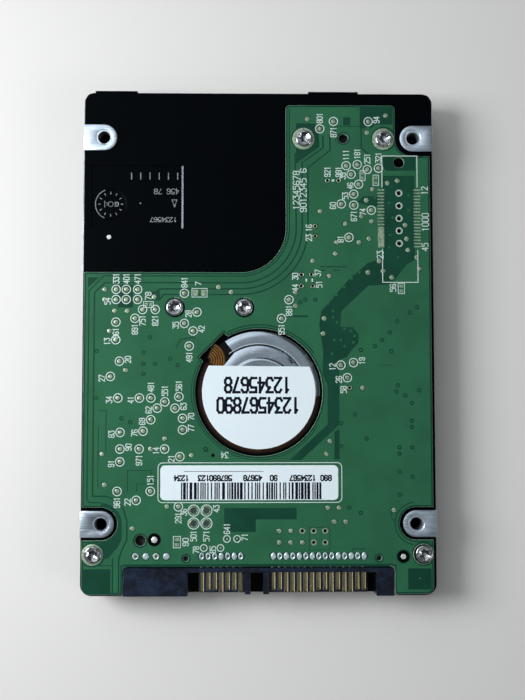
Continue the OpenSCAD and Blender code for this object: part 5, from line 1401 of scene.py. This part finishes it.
class DRIVE_OT_connector(DriveOperator):
    """Adds the serial connector's housing, contacts, pins and solder joints"""
    bl_idname = "drive.connector"
    bl_label = "Connector"

    def execute(self, context):
        navy, yellow = colours().plastic, colours().gold
        low, high = CONNECTOR
        plastic = finish("navy_plastic", shade(navy, 1.9), shade(navy, 0.3), (0.24, 0.36), 0.0, "grain", 0.9,
                         0.03, smears=0.12, cloud=0.3, spread=(0.3, 0.72), Specular_IOR_Level=0.32)
        back = max(loop[:, 1].max() for loop in face_loops("connector_housing", high[2]))
        wall = back - 1.5

        def weight(middle, along, normals):
            if abs(along.z) > 0.9 and abs(middle.x) > high[0] - 0.1 and abs(middle.y - back) < 0.1:
                return 1.0
            return 0.16 if middle.z > 7.9 or middle.y < low[1] + 0.3 else 0.0

        shell = refined("connector_housing", "connector_shell", plastic, (0.85, 4), weight)
        # The wall behind the contacts stands 0.6 mm further back, so that their whole length shows
        move_points(shell.data, lambda p: np.abs(p[:, 1] - wall * MM) < 1e-5, (0, 0.6 * MM, 0))
        gold = finish("gold_plating", yellow, shade(yellow, 0.6), (0.12, 0.22), 1.0, "brushed", 6.0, 0.0015,
                      turn=90)
        self.contacts(gold)
        self.joints()
        return {"FINISHED"}

    def contacts(self, gold):
        """Each contact is a crowned strip: the profile across its width is carried along it, and falls at its
        front. A square pin goes up through the board behind it."""
        base, half, thick = node_box("connector_contacts")[0][2], 0.42, 0.15
        crown = sizes().contact_crown / MM
        u = np.linspace(-1, 1, 13)
        upper = np.stack([u * half, thick - 0.06 + (0.06 + crown) * (1 - np.abs(u) ** 3)], 1)
        section = np.vstack([[(half, 0.0)], upper[::-1], [(-half, 0.0)]])
        wall = -46.2
        drop = [-0.10, -0.05, -0.01, 0, 0, 0, 0]
        shapes = []
        for k, x in enumerate(PIN_ROW):
            front = wall - (3.3 if k in LONG_CONTACTS else 2.8)
            ys = [front, front + 0.05, front + 0.2, front + 0.45, wall, -44.7, -42.2]
            path = np.array([(x, y, base + d) for y, d in zip(ys, drop)])
            shapes.append(swept(path, section, [(1, 0, 0)] * len(path)))
            shapes.append(slab([box(x - 0.15, -42.51, x + 0.15, -42.21)], base + 0.05, Z_BOARD + 0.01))
        piece("contacts_crowned", joined(*shapes), gold, stands_for=["connector_contacts"],
              weld=True)
        coat(frame["nodes"]["jumper_pins"].data, gold)

    def joints(self):
        """Solder joints: a dome that dips round the pin's end, or a raised ring round a small dull core."""
        solder = finish("solder_metal", (0.72, 0.88, 0.89), (0.26, 0.37, 0.38), (0.1, 0.22), 0.3, per_mm=2.6,
                        depth=0.04)
        core = finish("joint_core", (0.16, 0.2, 0.19), (0.02, 0.04, 0.035), (0.15, 0.3), 0.4, per_mm=3.0)
        slope = [(1 - 0.62 * k, 0.02 + 0.15 * math.sin(k * 1.9)) for k in np.linspace(0, 1, 7)]
        dome = turned([(0, -0.01), (1, -0.01), *slope, (0.2, 0.14), (0, 0.145)], 20)
        ring = turned([(0, -0.01), (1, -0.01), (1, 0.03), (0.9, 0.11), (0.78, 0.14), (0.64, 0.11),
                       (0.5, 0.04), (0, 0.02)], 20)
        pin = turned([(0, 0.0), (0.46, 0.0), (0.4, 0.06), (0, 0.08)], 14)
        domes, rings, cores = [], [], []
        for k, x in enumerate(JUMPER_ROW + PIN_ROW):
            at = (x, JOINT_Y, Z_BOARD)
            sx, sy, sz = (0.66, 0.66, 1.1) if x in JUMPER_ROW else (0.5, 0.74, 1.0)
            if k % 2 == 0 or k % 7 == 5:
                rings.append(shifted(ring, at, (sx, sy, sz)))
                cores.append(shifted(pin, at, (sx, sy, sz * 1.7)))
            else:
                domes.append(shifted(dome, at, (sx, sy, sz)))
        piece("joint_cores", joined(*cores), core, weld=True, smooth=60)
        piece("solder_fillets", joined(*domes, *rings), solder, stands_for=["solder_joints"],
              weld=True, smooth=60)


def stripes(seed, widths, count, start, stop, y1, y2, overlap=0.0):
    """Upright bars of chance widths from x = start on, one in every two places, as far as x = stop."""
    edges = start + np.cumsum(np.random.default_rng(seed).choice(widths, count))
    return [box(a, y1, b + overlap, y2) for a, b in zip(edges[:-1:2], edges[1::2]) if b < stop]


class DRIVE_OT_bar_label(DriveOperator):
    """Adds the long paper label with its stripes and plain numbers"""
    bl_idname = "drive.bar_label"
    bl_label = "Bar label"

    def execute(self, context):
        low, high = node_box("barcode_label")
        z = low[2] + COPPER
        outline = box(low[0], low[1], high[0], high[1], sizes().label_corner / MM)
        bars = stripes(8, [0.2, 0.2, 0.36, 0.5], 150, low[0] + 3.7, high[0] - 3.3, low[1] + 0.15,
                       low[1] + 3.45, 0.05)
        line = ribbon([[-14.7, high[1] - 1.2], [0.9, high[1] - 1.2]], 0.1)
        words = {"1234": -15.2, "567890123": -8.6, "45678": -1.2, "90": 2.9, "1234567": 8.6, "890": 13.2}
        text = [q for word, x in words.items() for q in digits(word, 0.95, 0.74, 0.26, 180, x, high[1] - 2.5)]
        piece("bar_label_paper", slab([outline], z - 0.01, z + 0.05), FINISHES["label_paper"],
              stands_for=["barcode_label"], bevel=(0.015, 2))
        piece("bar_label_print", slab(bars + line + text, z + 0.04, z + 0.062), FINISHES["label_ink"])
        return {"FINISHED"}


class DRIVE_OT_cover(DriveOperator):
    """Adds the cover plate with rounded edges and its paper label with a plain printed table"""
    bl_idname = "drive.cover"
    bl_label = "Cover"

    def execute(self, context):
        sheet = colours().steel
        steel = finish("cover_sheet", sheet, shade(sheet, 0.78), (0.3, 0.4), 1.0, "brushed", 5.0, 0.003,
                       turn=90, smears=0.04)
        refined("top_cover", "cover_plate", steel, (0.18, 3),
                lambda middle, along, normals: 1.0 if min(n.z for n in normals) < -0.9 else 0.0)
        low, high = node_box("cover_label")
        outline = box(low[0], low[1], high[0], high[1], 1.6)
        piece("cover_label_paper", slab([outline], low[2] + 0.01, high[2]), FINISHES["label_paper"],
              stands_for=["cover_label"])
        # The table: seven lines across and three down, with a number in each row, and bars above it
        x0, y0, x1, y1 = low[0] + 3, low[1] + 3, high[0] - 3, high[1] - 3
        lines = [q for y in np.linspace(y0, y0 + 18, 7) for q in ribbon([[x0, y], [x1, y]], 0.15)]
        lines += [q for x in (x0, x0 + 20, x1) for q in ribbon([[x, y0], [x, y0 + 18]], 0.15)]
        bars = stripes(3, [0.2, 0.2, 0.4, 0.6], 120, x0 + 2, x1 - 2, y1 - 8, y1)
        numbers = []
        for k in range(6):
            numbers += digits(str(k + 1), 1.6, 1.4, 0.24, 0, 3 - x1, y0 + 1.5 + 3 * k)
        numbers += digits("1234567890", 2.2, 2.2, 0.34, 0, 0, y1 - 11)
        # The label is read from beneath, so its numbers are mirrored here
        numbers = [outline * (-1, 1) for outline in numbers]
        piece("cover_label_print", slab(lines + bars + numbers, low[2] - 0.008, low[2] + 0.02),
              FINISHES["label_ink"])
        return {"FINISHED"}


class DRIVE_OT_insides(DriveOperator):
    """Gives the parts inside the casting and under the board their finishes, rounded edges and windings"""
    bl_idname = "drive.insides"
    bl_label = "Inner parts"

    def execute(self, context):
        hub_at, pivot = tuple(SPINDLE), tuple(PIVOT)
        mirror = finish("platter_mirror", (0.86, 0.86, 0.87), (0.80, 0.80, 0.82), (0.03, 0.06), 1.0, "spun",
                        8.0, 0.0005, hub_at, smears=0.02)
        hub = finish("turned_hub", (0.72, 0.73, 0.75), (0.5, 0.51, 0.53), (0.2, 0.32), 1.0, "spun", 5.0,
                     centre=hub_at)
        arm = finish("milled_arm", (0.66, 0.67, 0.70), (0.46, 0.47, 0.50), (0.28, 0.4), 1.0, "brushed", 5.0)
        plate = finish("nickel_plate", (0.70, 0.69, 0.66), (0.52, 0.51, 0.49), (0.2, 0.36), 1.0, per_mm=3.0)
        steel = finish("ground_steel", (0.60, 0.61, 0.63), (0.42, 0.43, 0.45), (0.18, 0.3), 1.0, "spun", 6.0,
                       0.003, pivot)
        stack = finish("laminated_steel", (0.34, 0.35, 0.37), (0.18, 0.19, 0.20), (0.35, 0.5), 1.0, "brushed",
                       8.0, 0.008)
        rubber = finish("moulded_rubber", (0.03, 0.03, 0.032), (0.015, 0.015, 0.016), (0.6, 0.75), per_mm=5.0,
                        depth=0.01)
        ivory = finish("ivory_plastic", (0.78, 0.74, 0.62), (0.68, 0.63, 0.50), (0.35, 0.45), per_mm=4.0)
        black = finish("black_plastic", (0.022, 0.022, 0.024), (0.012, 0.012, 0.013), (0.4, 0.55), per_mm=5.0,
                       depth=0.006)
        epoxy = finish("chip_epoxy", (0.022, 0.023, 0.026), (0.010, 0.010, 0.012), (0.5, 0.65), per_mm=8.0,
                       depth=0.008)
        brown = finish("ceramic_parts", (0.30, 0.22, 0.15), (0.18, 0.13, 0.09), (0.4, 0.55), per_mm=3.0,
                       depth=0.006)
        felt = finish("filter_felt", (0.86, 0.86, 0.83), (0.62, 0.62, 0.60), (0.85, 0.95), per_mm=6.0,
                      depth=0.05)
        bronze = finish("sintered_bronze", (0.58, 0.40, 0.20), (0.38, 0.25, 0.11), (0.3, 0.45), 1.0,
                        per_mm=6.0, depth=0.01)
        slider = finish("head_ceramic", (0.05, 0.05, 0.06), (0.025, 0.025, 0.03), (0.1, 0.2), 0.2, per_mm=9.0,
                        depth=0.001)
        rounded = {
            "platter_lower": (mirror, 0.06), "platter_upper": (mirror, 0.06), "platter_spacer": (hub, 0.08),
            "platter_clamp": (hub, 0.1), "spindle_hub": (hub, 0.1), "rotor_magnet": (stack, 0.08),
            "spindle_shaft": (steel, 0.1), "arm_block": (arm, 0.08), "pivot_sleeve": (steel, 0.06),
            "bearing_outer_rings": (steel, 0.05), "bearing_inner_rings": (steel, 0.05),
            "pivot_shaft": (steel, 0.06), "cover_side_yoke": (plate, 0.1), "base_side_yoke": (plate, 0.1),
            "cover_side_magnet": (plate, 0.1), "base_side_magnet": (plate, 0.1), "yoke_posts": (steel, 0.06),
            "yoke_screws": (steel, 0.05), "load_ramp": (ivory, 0.05), "ramp_screw": (steel, 0.05),
            "latch_lever": (ivory, 0.12), "latch_pin": (steel, 0.06), "crash_stops": (rubber, 0.15),
            "coil_frame": (black, 0.12), "flex_bracket": (plate, 0.08), "feedthrough_connector": (black, 0.1),
            "controller_chip": (epoxy, 0.08), "motor_driver_chip": (epoxy, 0.08),
            "memory_chip": (epoxy, 0.08), "power_parts": (brown, 0.12), "preamp_chip": (epoxy, 0.05),
            "clamp_screws": (steel, 0.05), "counter_plate": (plate, 0.04), "bearing_sleeve": (bronze, 0.06),
            "recirculation_filter": (felt, 0.3), "desiccant_pack": (felt, 0.3),
            "breather_filter": (felt, 0.15), "cover_gasket": (rubber, 0.05),
        }
        for node, (material, width) in rounded.items():
            refined(node, node + "_finished", material, (width, 2))
        plain = {"stator_core": stack, "suspensions": plate, "head_sliders": slider, "bearing_balls": steel,
                 "board_insulator": rubber}
        for node, material in plain.items():
            coat(frame["nodes"][node].data, material)
        self.windings()
        self.head_film()
        return {"FINISHED"}

    def windings(self):
        """Nine coils whose outline, seen along the wire, is a row of round bumps, one for each turn."""
        copper = finish("enamelled_wire", (0.60, 0.24, 0.07), (0.34, 0.11, 0.03), (0.22, 0.34), 0.9,
                        per_mm=3.0, depth=0.002)
        low, high = node_box("stator_windings")
        coils, turns, sides, r1, r2, half_w = 9, 7, 24, 5.45, 7.75, 1.02
        half_h = (high[2] - low[2]) / 2
        u = np.linspace(0, turns, turns * 6 + 1)
        swell = 0.10 * np.abs(np.sin(np.pi * u)) - 0.10
        radius = r1 + (r2 - r1) * u / turns
        # Section with rounded corners: the root of the cosine and of the sine of the angle, with their signs
        a = np.arange(sides) * 2 * np.pi / sides
        across, up = (np.sign(wave) * np.abs(wave) ** 0.5 for wave in (np.cos(a), np.sin(a)))
        y = (half_w + swell)[:, None] * across
        z = (half_h + swell)[:, None] * up
        verts = np.stack([np.broadcast_to(radius[:, None], y.shape), y, z], -1).reshape(-1, 3)
        faces = grid_faces(len(u), sides).tolist() + end_faces(len(u), sides)
        at = [(*SPINDLE, (low[2] + high[2]) / 2)] * coils
        shape = copies((verts, faces), at, [360 / coils * k for k in range(coils)])
        piece("stator_coils", shape, copper, stands_for=["stator_windings"], weld=True)
        refined("voice_coil", "voice_coil_wound", copper, (0.2, 3))

    def head_film(self):
        """Flexible circuit from the bracket to the arms: one end stays with the drive, the other follows the
        arms."""
        film = finish("copper_film", (0.42, 0.17, 0.03), (0.24, 0.08, 0.012), (0.25, 0.35), 0.3, per_mm=3.0,
                      depth=0.003)
        made = refined("head_flex_cable", "head_flex_strip", film, rides=False)
        co = mesh_points(made.data)
        apart = np.linalg.norm(co[:, :2] - node_middle("preamp_chip")[:2] * MM, axis=1)
        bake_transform(made, "drive", "actuator", start=co[apart.argmax()], end=co[apart.argmin()])


def area_light(name, place, width, height, power, tint):
    """Soft rectangular lamp at a place, facing the drive; lengths in millimetres, power in watts."""
    lamp = bpy.data.lights.new(name, "AREA")
    lamp.shape, lamp.size, lamp.size_y = "RECTANGLE", width * MM, height * MM
    lamp.energy, lamp.color = power, tint
    made = added(name, lamp)
    made.location = Vector(place) * MM
    made.rotation_euler = (Vector((0, 0, 5)) - Vector(place)).to_track_quat("-Z", "Y").to_euler()


def seen_rays(tree):
    """One for the rays of the camera, of reflections and of clear materials, nothing for those that light."""
    rays = put(tree, "LightPath").outputs
    seen = maths(tree, "MAXIMUM", rays["Is Camera Ray"], rays["Is Glossy Ray"])
    return maths(tree, "MAXIMUM", seen, rays["Is Transmission Ray"])


def mix_shader(tree, mask, first, second, output):
    """Sends the first shader to the output where the mask is nothing, the second where it is one."""
    mixed = put(tree, "MixShader", {0: mask, 1: first, 2: second}).outputs[0]
    tree.links.new(mixed, tree.nodes[output].inputs["Surface"])


# Pale tone of the distance, and the lamps as (name, place, width, height, power, tint)
HAZE = (0.60, 0.61, 0.615, 1)
LAMPS = (
    ("window_left", (-192, 34, 195), 120, 140, 0.66, (0.97, 0.98, 1.0)),
    ("ceiling_far_left", (-506, 550, 924), 1190, 1190, 4.45, (0.94, 0.97, 1.0)),
    ("ceiling", (0, 0, 1800), 1220, 1220, 1.35, (0.92, 0.97, 1.0)),
    ("fill_right", (990, -420, 660), 480, 480, 1.8, (1, 1, 1)),
)


class DRIVE_OT_stage(DriveOperator):
    """Adds the pale floor, the soft lamps, the pale distance and the camera above the drive"""
    bl_idname = "drive.stage"
    bl_label = "Stage"

    def execute(self, context):
        context.scene.view_settings.view_transform = "Standard"
        self.floor()
        self.world(context.scene)
        for lamp in LAMPS:
            area_light(*lamp)
        self.camera(context.scene)
        return {"FINISHED"}

    def floor(self):
        """Wide disc; from 100 to 240 mm away it passes into an even pale tone for the rays that are seen."""
        floor, tree, shader = principled("pale_floor", Base_Color=(*colours().floor, 1), Roughness=0.65)
        glow = put(tree, "Emission", {"Color": HAZE, "Strength": 1.0}).outputs[0]
        reach = put(tree, "VectorMath", {0: place_mm(tree)}, operation="LENGTH").outputs["Value"]
        far = maths(tree, "MULTIPLY", fit(tree, reach, 100, 240), seen_rays(tree))
        mix_shader(tree, far, shader.outputs[0], glow, "Material Output")
        verts, faces = turned([(0, 0), (3000, 0)], 96)
        mesh = bpy.data.meshes.new("floor")
        mesh.from_pydata((verts * MM).tolist(), [], faces[:, ::-1].tolist())
        tidy(mesh, False)
        mesh.materials.append(floor)
        added("floor", mesh)

    def world(self, scene):
        """Dim light from all round; low down it shows the same pale tone to the rays that are seen."""
        world = bpy.data.worlds.new("soft_room")
        scene.world = world
        world.use_nodes = True
        tree = world.node_tree
        dim = feed(tree, tree.nodes["Background"], {"Color": (0.90, 0.95, 1.0, 1), "Strength": 0.06})
        pale = put(tree, "Background", {"Color": HAZE, "Strength": 1.0}).outputs[0]
        up = parts_of(tree, put(tree, "TexCoord").outputs["Generated"])[2]
        low = maths(tree, "MULTIPLY", fit(tree, up, 0.15, 0.6, 1.0, 0.0), seen_rays(tree))
        mix_shader(tree, low, dim.outputs[0], pale, "World Output")

    def camera(self, scene):
        """Camera that looks down on the drive, a little from its connector's side."""
        camera = bpy.data.cameras.new("above")
        camera.lens, camera.sensor_width = 51.94, 36.0
        camera.clip_start, camera.clip_end = 0.01, 10
        holder = added("above", camera)
        holder.location = Vector((-2.6, -14.67, 208.48)) * MM
        holder.rotation_euler = (math.radians(3.631), math.radians(-0.956), math.radians(-0.033))
        scene.camera = holder


class DRIVE_PT_pieces(bpy.types.Panel):
    """Lists the pieces of the drive and their sizes and colours"""
    bl_idname = "DRIVE_PT_pieces"
    bl_label = "Hard disk drive"
    bl_space_type = "VIEW_3D"
    bl_region_type = "UI"
    bl_category = "Drive"

    def draw(self, context):
        for operator in OPERATORS:
            self.layout.operator(operator.bl_idname)
        for group in (context.scene.drive_sizes, context.scene.drive_colours):
            column = self.layout.column()
            for name in group.__annotations__:
                column.prop(group, name)


OPERATORS = (DRIVE_OT_casting, DRIVE_OT_board, DRIVE_OT_screws, DRIVE_OT_motor, DRIVE_OT_connector,
             DRIVE_OT_bar_label, DRIVE_OT_cover, DRIVE_OT_insides, DRIVE_OT_stage)
CLASSES = (DriveSizes, DriveColours, *OPERATORS, DRIVE_PT_pieces)


def register():
    """Makes the classes known, and gives the scene its sizes and colours."""
    for made in CLASSES:
        bpy.utils.register_class(made)
    bpy.types.Scene.drive_sizes = PointerProperty(type=DriveSizes)
    bpy.types.Scene.drive_colours = PointerProperty(type=DriveColours)


def unregister():
    """Takes away what register() has made."""
    del bpy.types.Scene.drive_sizes
    del bpy.types.Scene.drive_colours
    for made in reversed(CLASSES):
        bpy.utils.unregister_class(made)


def main():
    """Builds the drive's looks and stage."""
    register()
    for operator in OPERATORS:
        group, name = operator.bl_idname.split(".")
        getattr(getattr(bpy.ops, group), name)()
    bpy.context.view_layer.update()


if __name__ == "__main__":
    main()
